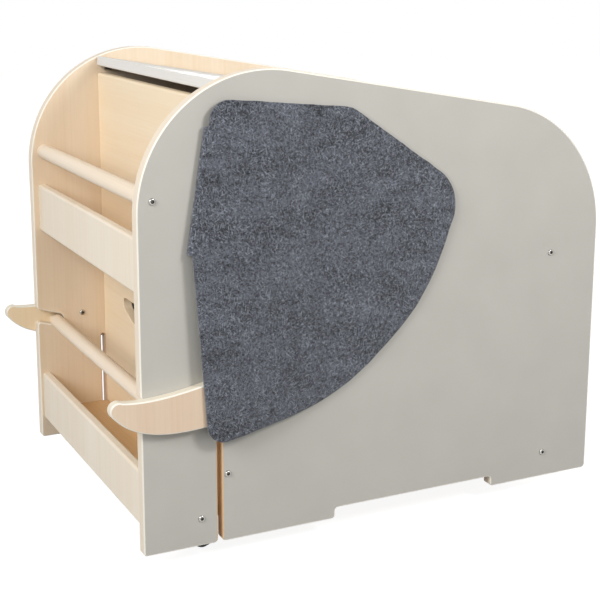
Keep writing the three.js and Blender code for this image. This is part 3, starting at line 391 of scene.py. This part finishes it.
grain.links.new(mixed(grain, pore_tone, sanded, wood_in["Tan"], "MULTIPLY"), wood_out["Colour"])
grain.links.new(combined(grain, streaks, pore_depth, "SUBTRACT"), wood_out["Height"])
grain.links.new(spread(grain, streaks, 0.2, 0.8, -0.06, 0.06), wood_out["Dull"])


def material(name):
    """A new material: itself, its tree, and the piece's own coordinates in metres."""
    made = bpy.data.materials.new(name)
    tree = emptied(made)
    return made, tree, put(tree, "TexCoord").outputs["Object"]


def surface(tree, height, depth, **sockets):
    """The shader that ends a material, with bumps of a depth in metres where the height says."""
    bump = put(tree, "Bump", {"Height": height, "Distance": depth, "Strength": 1.0})
    named = {key.replace("_", " "): value for key, value in sockets.items()}
    shader = put(tree, "BsdfPrincipled", {**named, "Normal": bump.outputs[0]})
    put(tree, "OutputMaterial", {"Surface": shader.outputs[0]})


GRAIN_DEPTH = 0.00006


def birch(name, streaks_per_metre, pale, tan, rough=0.5):
    """Sanded and clear-coated birch, between a pale and a tan colour."""
    made, tree, point = material(name)
    cut = {
        "Point": point,
        "Streaks per metre": streaks_per_metre,
        "Pale": linear(*pale),
        "Tan": linear(*tan),
    }
    wood = put(tree, "Group", cut, node_tree=grain).outputs
    dull = combined(tree, wood["Dull"], rough)
    surface(tree, wood["Height"], GRAIN_DEPTH, Base_Color=wood["Colour"], Roughness=dull)
    return made


UPRIGHT = (330.0, 330.0, 5.0)
CROSSWISE = (330.0, 5.0, 330.0)
PLIES = (60.0, 700.0, 60.0)
ROUNDED_PLIES = (60.0, 300.0, 60.0)
panel_birch = birch("birch_upright", UPRIGHT, (236, 220, 198), (227, 204, 174))
edge_birch = birch("edge_wood", PLIES, (233, 221, 202), (226, 209, 186), 0.45)
# Painted highlight: a paler, near white copy of the edge wood for the rounds, for the light they
# catch
painted_round_highlight = birch("edge_round_painted_highlight", ROUNDED_PLIES, (243, 238, 227), (238, 231, 216), 0.4)
# Painted shade: a darker, golden copy of the wood for the walls of the narrow slot
painted_slot_shade = birch("slot_wood_painted_shade", ROUNDED_PLIES, (224, 194, 156), (212, 178, 138), 0.45)

grey_paint, paint, paint_point = material("grey_paint")
orange_peel = cloud(paint, paint_point, 900.0)
roller = cloud(paint, paint_point, 18.0)
rolled = spread(paint, roller, 0.3, 0.7)
surface(
    paint,
    orange_peel,
    0.00003,
    Base_Color=mixed(paint, rolled, linear(189, 186, 178), linear(193, 190, 182)),
    Roughness=spread(paint, roller, 0.3, 0.7, 0.5, 0.56),
)

# How much of a face's direction is across the board: on a flat one, and at least on a rounded one
FLAT = 0.999
TURNED_AWAY = 0.05
SLOT_MIDDLE = FRONT + (SLOT_FRONT + SLOT_REAR) / 2
SLOT_RIM = 0.0018


def panel_finish(face, side):
    """Which finish a face has: paint, bare wood, painted highlight on the rounds, or painted shade
    in the slot.
    """
    facing = face.normal.y * side
    beside_slot = abs(face.center.x - SLOT_MIDDLE) < SLOT_WIDTH / 2 + SLOT_RIM
    if facing > FLAT:
        return grey_paint
    if facing < -FLAT:
        return panel_birch
    # The slot's walls take the painted shade
    if beside_slot and face.center.z < FOOT + SLOT_HEIGHT + SLOT_RIM:
        return painted_slot_shade
    return painted_round_highlight if abs(facing) > TURNED_AWAY else edge_birch


def coat(piece, finishes, chosen):
    """Gives a piece several finishes, and each face the one that is chosen for it."""
    for finish in finishes:
        piece.data.materials.append(finish)
    for face in piece.data.polygons:
        face.material_index = finishes.index(chosen(face))


def polish(piece):
    """Smooth shading across rounds, with the flats kept flat."""
    bpy.ops.object.select_all(action="DESELECT")
    piece.select_set(True)
    bpy.context.view_layer.objects.active = piece
    bpy.ops.object.shade_smooth_by_angle(angle=math.radians(38))
    weighted = piece.modifiers.new("flat_faces", "WEIGHTED_NORMAL")
    weighted.keep_sharp = True
    bpy.ops.object.modifier_apply(modifier=weighted.name)


def done(piece, body, node, finish=None):
    """Ends a piece: its finish where it has just one, its shading, its body, and the CAD piece it
    stands for hidden.
    """
    if finish:
        piece.data.materials.append(finish)
    polish(piece)
    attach(piece, body)
    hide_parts(node)


for panel, side, place in ((panel_left, -1, "left"), (panel_right, 1, "right")):
    finishes = [edge_birch, grey_paint, panel_birch, painted_round_highlight, painted_slot_shade]
    coat(panel, finishes, lambda face: panel_finish(face, side))
    done(panel, "frame", f"side_panel_{place}")


# Boards between the panels. Birch boards, glued with dowels and screwed through the panels: base,
# divider with a smiling mouth, rear panel, shelf floor, and two front boards with well rounded
# long edges.
SEAT = 0.0003
BOARD = 0.012
EASED = 0.0008


def board(name, low, high, radius=EASED, steps=3, chosen=lambda a, b: True):
    """A straight board from its lowest to its highest corner, with the chosen edges rounded."""
    middle = [(a + b) / 2 for a, b in zip(low, high)]
    size = [b - a for a, b in zip(low, high)]
    piece = fresh(bpy.ops.mesh.primitive_cube_add, name, size=1, location=middle, scale=size)
    round_over(piece, radius, steps, chosen)
    return piece


def runs_across(a, b):
    return same(a.x, b.x) and same(a.z, b.z)


pale_birch = birch("birch_pale", (60.0, 130.0, 5.0), (238, 228, 212), (230, 214, 190), 0.48)
floor_birch = birch("birch_floor", CROSSWISE, (222, 190, 148), (206, 168, 120))
divider_birch = birch("birch_divider", CROSSWISE, (246, 230, 204), (240, 218, 184))

FRONT_ROUND = 0.0035
for name in ("lower_front_board", "upper_front_board"):
    low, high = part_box(name)
    piece = board(name.replace("front_board", "board"), low, high, FRONT_ROUND, 8, runs_across)
    done(piece, "frame", name, pale_birch)

HALF_INSIDE = INNER - SEAT
HOUSING = 0.003
BASE_THICKNESS = 0.015
base_top = FOOT + 0.04
base_low = base_top - BASE_THICKNESS
divider_low, divider_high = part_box("divider_panel")
rear_low, rear_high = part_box("rear_panel")
base_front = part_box("lower_front_board")[1].x + SEAT
base_outline = [
    (base_front, base_low, 0),
    (rear_high.x, base_low, 0),
    (rear_high.x, base_top - HOUSING, 0),
    (rear_low.x - SEAT, base_top - HOUSING, 0),
    (rear_low.x - SEAT, base_top, 0),
    (divider_high.x + SEAT, base_top, 0),
    (divider_high.x + SEAT, base_top - HOUSING, 0),
    (divider_low.x - SEAT, base_top - HOUSING, 0),
    (divider_low.x - SEAT, base_top, 0),
    (base_front, base_top, 0),
]
base = cut_out("base", base_outline, -HALF_INSIDE, 2 * HALF_INSIDE)
done(base, "frame", "base_board", floor_birch)

shelf_low, shelf_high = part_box("upper_shelf_floor")
shelf_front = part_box("upper_front_board")[1].x + SEAT
shelf = board("shelf_floor", (shelf_front, shelf_low.y, shelf_low.z), shelf_high)
done(shelf, "frame", "upper_shelf_floor", floor_birch)


def carve(piece, cutter):
    """Cuts one closed piece out of another and throws the cutter away."""
    opening = piece.modifiers.new("opening", "BOOLEAN")
    opening.object = cutter
    opening.solver = "EXACT"
    bpy.ops.object.select_all(action="DESELECT")
    bpy.context.view_layer.objects.active = piece
    bpy.ops.object.modifier_apply(modifier=opening.name)
    bpy.data.objects.remove(cutter)


def divider_top(a, b):
    return runs_across(a, b) and same(a.z, divider_high.z)


MOUTH_HALF = 0.1165
MOUTH_TOP = FOOT + 0.2065
MOUTH_CORNER = 0.008
MOUTH_EASED = 0.001
LIP_RADIUS = 0.286
CUT_PAST = 0.004
divider = board("divider", divider_low, divider_high, FRONT_ROUND, 8, divider_top)
lean = math.asin((MOUTH_HALF - MOUTH_CORNER) / (LIP_RADIUS - MOUTH_CORNER))
lip_end = Vector((
    MOUTH_HALF - MOUTH_CORNER * (1 - math.sin(lean)),
    MOUTH_TOP - MOUTH_CORNER * (1 + math.cos(lean)),
))
lip_side = lip_end.x + (MOUTH_TOP - lip_end.y) / math.tan(lean)
mouth_corners = [
    (-lip_side, MOUTH_TOP, MOUTH_CORNER),
    (0, lip_end.y - lip_end.x * math.tan(lean), LIP_RADIUS),
    (lip_side, MOUTH_TOP, MOUTH_CORNER),
]
mouth = cut_out("mouth", mouth_corners, -divider_high.x - CUT_PAST, BOARD + 2 * CUT_PAST)
mouth.rotation_euler.z = math.pi / 2
bpy.ops.object.select_all(action="DESELECT")
mouth.select_set(True)
bpy.ops.object.transform_apply(location=True, rotation=True, scale=True)
carve(divider, mouth)


def on_lips(point):
    return abs(point.y) < MOUTH_HALF + CUT_PAST and base_top < point.z < MOUTH_TOP + CUT_PAST


for face in (divider_low.x, divider_high.x):
    round_over(
        divider,
        MOUTH_EASED,
        3,
        lambda a, b: same(a.x, face) and same(b.x, face) and on_lips(a) and on_lips(b),
    )
done(divider, "frame", "divider_panel", divider_birch)

rear = board("rear_board", rear_low, rear_high)
done(rear, "frame", "rear_panel", divider_birch)


# Rails. Two turned birch bars between the panels: the upper one is screwed, the lower one has a
# thin tenon on each end, which runs through the notch into the tusk.
def turned_bar(name, radius, length, sides, place=(0, 0, 0)):
    """A round bar along Y, as the lathe leaves it."""
    return fresh(
        bpy.ops.mesh.primitive_cylinder_add,
        name,
        vertices=sides,
        radius=radius,
        depth=length,
        location=place,
        rotation=(math.pi / 2, 0, 0),
    )


def pick(piece, chosen):
    """In edit mode, selects just the faces that pass the test."""
    bpy.ops.mesh.select_mode(type="FACE")
    bpy.ops.mesh.select_all(action="DESELECT")
    shape = bmesh.from_edit_mesh(piece.data)
    for face in shape.faces:
        face.select = chosen(face)
    bmesh.update_edit_mesh(piece.data)


TENON_RADIUS = 0.005
rail_birch = birch("birch_rail", CROSSWISE, (240, 226, 206), (232, 212, 186), 0.42)
for name in ("upper_rail", "lower_rail"):
    low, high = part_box(name)
    radius = (high.z - low.z) / 2
    bar_name = name.replace("rail", "bar")
    rail = turned_bar(bar_name, radius, 2 * HALF_INSIDE, 40, (low + high) / 2)
    round_over(rail, EASED, 2, lambda a, b: same(a.y, b.y))
    if high.y > INNER:
        for side in (-1, 1):
            bpy.ops.object.mode_set(mode="EDIT")
            pick(rail, lambda face: face.normal.y * side > FLAT)
            bpy.ops.mesh.inset(thickness=radius - EASED - TENON_RADIUS)
            extrude((0, side * (high.y - HALF_INSIDE), 0))
            bpy.ops.object.mode_set(mode="OBJECT")
    done(rail, "frame", name, rail_birch)


# Tusks. Curved boards of 12 mm plywood whose root runs back behind the ear, both of the same rosy
# birch. The far one, which lies in shade, takes a lighter, yellower copy of it as painted light.
# The rounds take the near white wood of painted highlight, and the lower rail ends in the inner
# face.
TUSK_LEVEL = FOOT + 0.1697
TUSK_ROOT = 0.082
TUSK_BELLY = (0.0396, -0.0288)
TIP_RADIUS = 0.0095
TIP_STARTS = 62
TIP_TURNS = 168
TIP_STEPS = 24
tusk_low, tusk_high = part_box("tusk_left")


def curve_points(start, pull, end, steps=24):
    """Points of a curve from start to end that leans towards pull, without its start."""
    shares = [i / steps for i in range(1, steps + 1)]
    return [start * (1 - s) ** 2 + pull * 2 * s * (1 - s) + end * s * s for s in shares]


tip = Vector((TIP_RADIUS - 0.038, 0.0058))
tip_angles = [math.radians(TIP_STARTS + TIP_TURNS * i / TIP_STEPS) for i in range(TIP_STEPS + 1)]
round_tip = [tip + TIP_RADIUS * Vector((math.cos(a), math.sin(a))) for a in tip_angles]
root_top, root_low = Vector((TUSK_ROOT, 0.0241)), Vector((TUSK_ROOT, -0.0257))
belly = Vector(TUSK_BELLY)
towards_root = Vector(((TUSK_BELLY[0] + TUSK_ROOT) / 2, TUSK_BELLY[1]))
tusk_points = [root_low, root_top]
tusk_points += curve_points(root_top, Vector((0.0137, 0.0083)), round_tip[0])
tusk_points += round_tip[1:]
tusk_points += curve_points(round_tip[-1], Vector((-0.0117, -0.0288)), belly)
tusk_points += curve_points(belly, towards_root, root_low)[:-1]
tusk_corners = [(p.x + FRONT, p.y + TUSK_LEVEL, 0) for p in tusk_points]
tusk_left = cut_out("tusk_board_left", tusk_corners, tusk_low.y, tusk_high.y - tusk_low.y)
round_rim(tusk_left, tusk_low.y, tusk_high.y)
tusk_right = mirrored(tusk_left, "tusk_board_right")
tusk_edge = birch("tusk_edge", PLIES, (230, 222, 204), (220, 209, 187), 0.45)
tusk_birch = birch("birch_tusk", UPRIGHT, (232, 211, 188), (222, 195, 166))
# Painted light: a lighter, yellower copy of the tusk birch for the far tusk, which lies in shade
painted_light_tusk_birch = birch("birch_tusk_painted_light", UPRIGHT, (248, 230, 198), (240, 216, 180))


def tusk_finish(face, veneer):
    across = abs(face.normal.y)
    if across > FLAT:
        return veneer
    # Painted highlight: the rounds take the paler, near white wood
    return painted_round_highlight if across > TURNED_AWAY else tusk_edge


for tusk, side, veneer in ((tusk_left, "left", tusk_birch), (tusk_right, "right", painted_light_tusk_birch)):
    coat(tusk, [veneer, painted_round_highlight, tusk_edge], lambda face: tusk_finish(face, veneer))
    done(tusk, "frame", f"tusk_{side}")


# Lid. One 12 mm birch board that slopes down to the rear, hinged there on two butt hinges, with
# its front edge on two small steel rests.
def joint(name):
    return next(joint for joint in frame["joints"] if joint["name"] == name)


LID_LENGTH = 0.4569
LID_SIDE_GAP = 0.002
LID_UNDERSIDE = 0.0043
LID_ROUND = 0.0015
LID_ARC_STEP = 0.0007
hinge_x, _, hinge_z = joint("lid_hinge")["pos_m"]
hinge = Vector((hinge_x, hinge_z))
along = Vector((-math.cos(SLOPE), math.sin(SLOPE)))
above = Vector((math.sin(SLOPE), math.cos(SLOPE)))


def on_lid(ahead, up):
    return hinge + along * ahead + above * up


lid_corners = [
    (*on_lid(LID_LENGTH, LID_UNDERSIDE), LID_ROUND),
    (*on_lid(LID_UNDERSIDE, LID_UNDERSIDE), EASED),
    (*on_lid(LID_UNDERSIDE, LID_UNDERSIDE + BOARD), LID_ROUND),
    (*on_lid(LID_LENGTH, LID_UNDERSIDE + BOARD), LID_ROUND),
]
lid_half = INNER - LID_SIDE_GAP
lid = cut_out("lid_board", lid_corners, -lid_half, 2 * lid_half, LID_ARC_STEP)
round_over(lid, EASED, 3, lambda a, b: same(a.y, b.y) and same(abs(a.y), lid_half))
lid_birch = birch("birch_lid", CROSSWISE, (228, 226, 222), (219, 215, 208), 0.45)
done(lid, "lid", "lid", lid_birch)


# Screws. Nickel-plated furniture screws with a domed head and a hexagon socket, each with its
# thread's shank in the wood. Those that hold the ears' flaps are out of sight and plain.
def plated(name, scale, detail, dark, light, smooth, dull):
    """Bare metal that is mottled between two colours and from smooth to dull."""
    made, tree, point = material(name)
    mottle = cloud(tree, point, scale, detail)
    surface(
        tree,
        mottle,
        0.00002,
        Base_Color=mixed(tree, mottle, linear(*dark), linear(*light)),
        Metallic=1.0,
        Roughness=spread(tree, mottle, 0.3, 0.7, smooth, dull),
    )
    return made


nickel = plated("nickel", 500.0, 3.0, (176, 174, 169), (198, 196, 190), 0.1, 0.2)
# Painted shade: a dark metal for the walls and floor of the socket, where the recess is in shade
painted_socket_shade = plated("socket_painted_shade", 900.0, 2.0, (76, 74, 71), (112, 109, 104), 0.4, 0.6)
PANEL_SCREW = 0.035
TUSK_SCREW = 0.024
SOCKET_WIDTH = 0.0018
SOCKET_DEPTH = 0.0014
SHANK_RADIUS = 0.0021
HEAD_RADIUS = 0.0037
HEAD_RISE = 0.0017
HEAD_ROUND = HEAD_RISE * 0.9
SCREW_TURN = 23


def screw_finish(face):
    """Painted shade, a dark metal, on the walls and floor of the socket, and nickel on the rest."""
    off_axis = Vector((face.center.x, face.center.z))
    socket_wall = off_axis.dot(Vector((face.normal.x, face.normal.z))) < 0
    socket_floor = face.normal.y < -0.9 and off_axis.length < SOCKET_WIDTH / 2
    return painted_socket_shade if socket_wall or socket_floor else nickel


def screw_model(length):
    """A screw along +Y with its head's underside in the plane y = 0 and the head towards -Y."""
    model = turned_bar("screw_model", HEAD_RADIUS, HEAD_RISE, 32, (0, -HEAD_RISE / 2, 0))
    bpy.ops.object.mode_set(mode="EDIT")
    pick(model, lambda face: face.normal.y > FLAT)
    bpy.ops.mesh.inset(thickness=HEAD_RADIUS - SHANK_RADIUS)
    extrude((0, length, 0))
    bpy.ops.object.mode_set(mode="OBJECT")
    round_rim(model, -HEAD_RISE, radius=HEAD_ROUND, steps=6)
    carve(model, turned_bar("key", SOCKET_WIDTH, 2 * SOCKET_DEPTH, 6, (0, -HEAD_RISE, 0)))
    coat(model, [nickel, painted_socket_shade], screw_finish)
    return model


def finish_node(name, finish):
    """A CAD piece whose shape is right keeps its mesh and takes a finish."""
    slots = frame["nodes"][name].data.materials
    slots.clear()
    slots.append(finish)


panel_screw = screw_model(PANEL_SCREW)
tusk_screw = screw_model(TUSK_SCREW)
for count, name in enumerate(sorted(n for n in frame["nodes"] if n.startswith("screw"))):
    if "_ear_" in name:
        finish_node(name, nickel)
        continue
    low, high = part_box(name)
    middle = (low + high) / 2
    away = math.copysign(1, middle.y)
    model = panel_screw
    if "tusk" in name:
        away, model = -away, tusk_screw
    seat = (high.y if away > 0 else low.y) - away * HEAD_RISE
    tightened = Matrix.Rotation(math.radians(SCREW_TURN * count), 4, "Y")
    facing = Matrix.Rotation(math.pi if away > 0 else 0, 4, "Z")
    placed = Matrix.Translation((middle.x, seat, middle.z)) @ facing @ tightened
    screw = copy_of(model, name.replace("screw", "furniture_screw"), placed)
    done(screw, "frame", name)
for model in (panel_screw, tusk_screw):
    bpy.data.objects.remove(model)


# Hinges and lid rests. Two steel butt hinges at the rear carry the lid, and two small steel cranks
# hold up its front corners. They are pressed from sheet, brushed along the pin and left bright.
brushed, brush, brush_point = material("brushed_steel")
scratches = cloud(brush, scaled(brush, brush_point, (2400.0, 40.0, 2400.0)), detail=3.0, rough=0.6)
fingered = cloud(brush, brush_point, 60.0)
worn_bright = spread(brush, scratches, 0.3, 0.7)
surface(
    brush,
    scratches,
    0.00003,
    Base_Color=mixed(brush, worn_bright, linear(150, 149, 147), linear(188, 187, 184)),
    Metallic=1.0,
    Roughness=spread(brush, combined(brush, scratches, fingered), 0.7, 1.3, 0.24, 0.4),
)
for name in frame["nodes"]:
    if name.startswith(("hinge", "lid_rest")):
        finish_node(name, brushed)


# Castors. Four swivel castors under the base board: a zinc-plated top plate, a fork pressed from
# sheet steel, a riveted axle, and a hard navy black nylon wheel.
zinc, zinc_coat, coat_point = material("zinc_plate")
spangle = put(zinc_coat, "TexVoronoi", {"Vector": coat_point, "Scale": 420.0}).outputs["Color"]
patch = put(zinc_coat, "SeparateColor", {0: spangle}).outputs[0]
oxide = cloud(zinc_coat, coat_point, 130.0, 4.0)
surface(
    zinc_coat,
    oxide,
    0.00004,
    Base_Color=mixed(zinc_coat, patch, linear(150, 152, 156), linear(184, 186, 190)),
    Metallic=1.0,
    Roughness=spread(zinc_coat, combined(zinc_coat, oxide, patch), 0.5, 1.5, 0.3, 0.5),
)
nylon, mould, mould_point = material("navy_nylon")
flow_marks = cloud(mould, mould_point, 90.0, 3.0)
mould_skin = cloud(mould, mould_point, 1800.0)
flow_share = spread(mould, flow_marks, 0.3, 0.7)
surface(
    mould,
    mould_skin,
    0.00003,
    Base_Color=mixed(mould, flow_share, linear(13, 15, 26), linear(22, 25, 37)),
    Roughness=spread(mould, flow_marks, 0.3, 0.7, 0.5, 0.62),
)
WHEEL_RADIUS = 0.016
WHEEL_HALF = 0.007
RIM_INSIDE = 0.012
HUB_RADIUS = 0.005
WEB_RECESS = 0.002
BORE_RADIUS = 0.0023
TREAD_ROUND = 0.0025
RIM_ROUND = 0.0007
HUB_ROUND = 0.0005
wheel = turned_bar("wheel", WHEEL_RADIUS, 2 * WHEEL_HALF, 72)
for side in (-1, 1):
    bpy.ops.object.mode_set(mode="EDIT")
    pick(wheel, lambda face: face.normal.y * side > FLAT)
    bpy.ops.mesh.inset(thickness=WHEEL_RADIUS - RIM_INSIDE)
    extrude((0, -side * WEB_RECESS, 0))
    bpy.ops.mesh.inset(thickness=RIM_INSIDE - HUB_RADIUS)
    extrude((0, side * WEB_RECESS, 0))
    bpy.ops.object.mode_set(mode="OBJECT")


def on_rim(point, radius):
    return same(math.hypot(point.x, point.z), radius) and same(abs(point.y), WHEEL_HALF)


for rim, rounding, steps in (
    (WHEEL_RADIUS, TREAD_ROUND, 5),
    (RIM_INSIDE, RIM_ROUND, 2),
    (HUB_RADIUS, HUB_ROUND, 2),
):
    round_over(
        wheel,
        rounding,
        steps,
        lambda a, b: on_rim(a, rim) and on_rim(b, rim) and same(a.y, b.y),
    )
carve(wheel, turned_bar("bore", BORE_RADIUS, 4 * WHEEL_HALF, 32))
for name in frame["nodes"]:
    if name.startswith("castor") and name.endswith("wheel"):
        low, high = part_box(name)
        axle = Vector(joint(name.replace("wheel", "roll"))["axis"])
        headed = Vector((0, 1, 0)).rotation_difference(axle).to_matrix().to_4x4()
        placed = Matrix.Translation((low + high) / 2) @ headed
        rolling = copy_of(wheel, name.replace("wheel", "nylon_wheel"), placed)
        done(rolling, name.replace("wheel", "roller"), name, nylon)
    elif name.startswith("castor"):
        finish_node(name, zinc)
bpy.data.objects.remove(wheel)


# Ears. Felt 3 mm thick, cut with scissors and folded back along the front, where the flap is
# screwed to the panel. The sheet hangs clear of the tusk and comes back to the panel behind.
FELT = 0.003
EAR_CORNERS = [
    (0.0799, 0.4745, 0.001),
    (0.0795, 0.499, 0.022),
    (0.2506, 0.4818, 0.04),
    (0.3987, 0.381, 0.05),
    (0.3504, 0.2511, 0.23),
    (0.2343, 0.149, 0.21),
    (0.0718, 0.1206, 0.02),
    (0.0575, 0.333, 0.001),
]
FOLD_LOW = Vector((0.0525, 0.335))
FOLD_HIGH = Vector((0.0745, 0.469))
FLAP = 0.02
LIFT_AT_TOP = 0.006
LIFT_AT_REAR = 0.0005
LIFT_GROWS = 0.0066 / 0.2752
BACK_TO_PANEL = (0.09, 0.14)
FELT_STEP = 0.004
FELT_RINGS = 40
RING_SMOOTHINGS = 4
FOLD_STEPS = 10
FREE_WITHIN = 0.06
WAVE = 0.0016
WAVES_PER_METRE = (14, 11)
CREASES_PER_METRE = (42, 36)
SCISSOR_WOBBLE = 0.0006
SNIPS_PER_METRE = (55, 55)
CUT_EDGE = 0.0009


def ear_lift(x, z):
    """How far the felt's back stands off the panel."""
    start, length = BACK_TO_PANEL
    share = min(1, max(0, (x - start) / length))
    share = share * share * (3 - 2 * share)
    front = LIFT_AT_TOP + LIFT_GROWS * (FOLD_HIGH.y - z)
    return front + (LIFT_AT_REAR - front) * share


def fold_radius(end):
    return (ear_lift(end.x, end.y) - SEAT) / 2


def fold_axis(end):
    return Vector((end.x + fold_radius(end) + FELT / 2, end.y))


def rounded(corners):
    """The outline of corners (x, z, radius), its rounds drawn in short steps."""
    drawn = []
    for i, (_, _, radius) in enumerate(corners):
        first, centre, last, angle = turn_at(corners, i)
        first, last = first - centre, last - centre
        steps = max(2, round(radius * abs(angle) / FELT_STEP))
        drawn += [centre + radius * first.slerp(last, k / steps) for k in range(steps + 1)]
    return drawn


def paced(line):
    """Points along a line at about one felt step, its own corners kept."""
    placed = [line[0]]
    for a, b in zip(line, line[1:]):
        steps = max(1, round((b - a).length / FELT_STEP))
        placed += [a.lerp(b, k / steps) for k in range(1, steps + 1)]
    return placed


low_axis, high_axis = fold_axis(FOLD_LOW), fold_axis(FOLD_HIGH)
fold_line = paced([low_axis, high_axis])
outline = fold_line + paced([high_axis] + rounded(EAR_CORNERS) + [low_axis])[1:-1]
middle = sum(outline, Vector((0, 0))) / len(outline)
noise.seed_set(7)


def wander(x, z, per_metre, layer):
    """A smooth random value between -1 and 1, which each layer has its own of."""
    return noise.noise(Vector((x * per_metre[0], z * per_metre[1], layer)))


def felt_point(x, z):
    """The place of the felt's middle layer on the ear."""
    free = min(1, max(0, (x - high_axis.x) / FREE_WITHIN))
    ripple = 0.5 + 0.5 * wander(x, z, WAVES_PER_METRE, 3.0)
    fine = 0.5 + 0.5 * wander(x, z, CREASES_PER_METRE, 9.0)
    stand = OUTER + ear_lift(x, z) + FELT / 2 + free * WAVE * (0.75 * ripple + 0.25 * fine)
    scissors = free * SCISSOR_WOBBLE
    x += scissors * wander(x, z, SNIPS_PER_METRE, 15.0)
    z += scissors * wander(x, z, SNIPS_PER_METRE, 21.0)
    return Vector((x + FRONT, -stand, z + FOOT))


# The sheet is a net of rings round its middle, from the outline inwards
sheet_mesh = bmesh.new()
rings = []
count = len(outline)
shape = outline
for ring in range(FELT_RINGS, 0, -1):
    points = [middle.lerp(point, ring / FELT_RINGS) for point in shape]
    rings.insert(0, [sheet_mesh.verts.new(felt_point(*point)) for point in points])
    for _ in range(RING_SMOOTHINGS):
        shape = [(shape[i - 1] + 2 * shape[i] + shape[(i + 1) % count]) / 4 for i in range(count)]
centre = sheet_mesh.verts.new(felt_point(*middle))
for i in range(count):
    nearby = (i + 1) % count
    sheet_mesh.faces.new((centre, rings[0][i], rings[0][nearby]))
    for inner, outer in zip(rings, rings[1:]):
        sheet_mesh.faces.new((inner[i], outer[i], outer[nearby], inner[nearby]))

# The fold and the flap go on from the rows along the front edge
row = rings[-1][: len(fold_line)]
flap_steps = round(FLAP / FELT_STEP)
for step in range(1, FOLD_STEPS + flap_steps + 1):
    following = []
    for k, axis in enumerate(fold_line):
        radius = fold_radius(FOLD_LOW.lerp(FOLD_HIGH, k / (len(fold_line) - 1)))
        centre_y = -(OUTER + SEAT + FELT / 2 + radius)
        turn = math.pi * min(1, step / FOLD_STEPS)
        rearward = FLAP * max(0, step - FOLD_STEPS) / flap_steps
        x = axis.x - radius * math.sin(turn) + rearward
        y = centre_y - radius * math.cos(turn)
        following.append(sheet_mesh.verts.new((x + FRONT, y, axis.y + FOOT)))
    for k in range(len(fold_line) - 1):
        sheet_mesh.faces.new((row[k], following[k], following[k + 1], row[k + 1]))
    row = following
bmesh.ops.recalc_face_normals(sheet_mesh, faces=sheet_mesh.faces)
cut_area = sum(face.calc_area() for face in sheet_mesh.faces)
ear_data = bpy.data.meshes.new("ear_felt_left")
sheet_mesh.to_mesh(ear_data)
sheet_mesh.free()
ear_left = bpy.data.objects.new("ear_felt_left", ear_data)
bpy.context.scene.collection.objects.link(ear_left)
bpy.ops.object.select_all(action="DESELECT")
ear_left.select_set(True)
bpy.context.view_layer.objects.active = ear_left
thick = ear_left.modifiers.new("felt", "SOLIDIFY")
thick.thickness = FELT
thick.offset = 0
bpy.ops.object.modifier_apply(modifier=thick.name)
worn = ear_left.modifiers.new("cut_edge", "BEVEL")
worn.width = CUT_EDGE
worn.segments = 2
worn.limit_method = "ANGLE"
worn.angle_limit = math.radians(50)
bpy.ops.object.modifier_apply(modifier=worn.name)
outward(ear_left)
ear_right = mirrored(ear_left, "ear_felt_right")

felt, fibres, felt_place = material("felt")
clouds = cloud(fibres, scaled(fibres, felt_place, (20.0, 20.0, 42.0)), detail=3.0, rough=0.6)
tufts = cloud(fibres, felt_place, 380.0, 3.0, 0.7)
specks = cloud(fibres, felt_place, 900.0, 2.0, 0.7)
hairs = 0.0
for lay in (20, 80, 140):
    way = {"Vector": felt_place, "Angle": math.radians(lay)}
    turned = put(fibres, "VectorRotate", way, rotation_type="Y_AXIS").outputs[0]
    strand = cloud(fibres, scaled(fibres, turned, (190.0, 400.0, 1300.0)))
    hairs = combined(fibres, strand, hairs, "MAXIMUM")
pale_hairs = spread(fibres, hairs, 0.59, 0.72, 0.0, 0.85)
tuft_share = combined(fibres, tufts, 0.45, "MULTIPLY")
speck_share = combined(fibres, specks, 0.4, "MULTIPLY")
cloud_share = combined(fibres, clouds, 0.2, "MULTIPLY")
matted = combined(fibres, combined(fibres, tuft_share, speck_share), cloud_share)
matting = spread(fibres, matted, 0.45, 0.6)
dark_felt = mixed(fibres, matting, linear(20, 21, 25), linear(97, 101, 111))
surface(
    fibres,
    combined(fibres, matted, combined(fibres, pale_hairs, 0.3, "MULTIPLY")),
    0.0006,
    Base_Color=mixed(fibres, pale_hairs, dark_felt, linear(158, 163, 174)),
    Roughness=0.95,
    Specular_IOR_Level=0.15,
    Sheen_Weight=0.3,
    Sheen_Roughness=0.6,
)
for ear, side in ((ear_left, "left"), (ear_right, "right")):
    ear.data.materials.append(felt)
    ear.data.shade_smooth()
    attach(ear, "frame")
    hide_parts(f"ear_{side}")
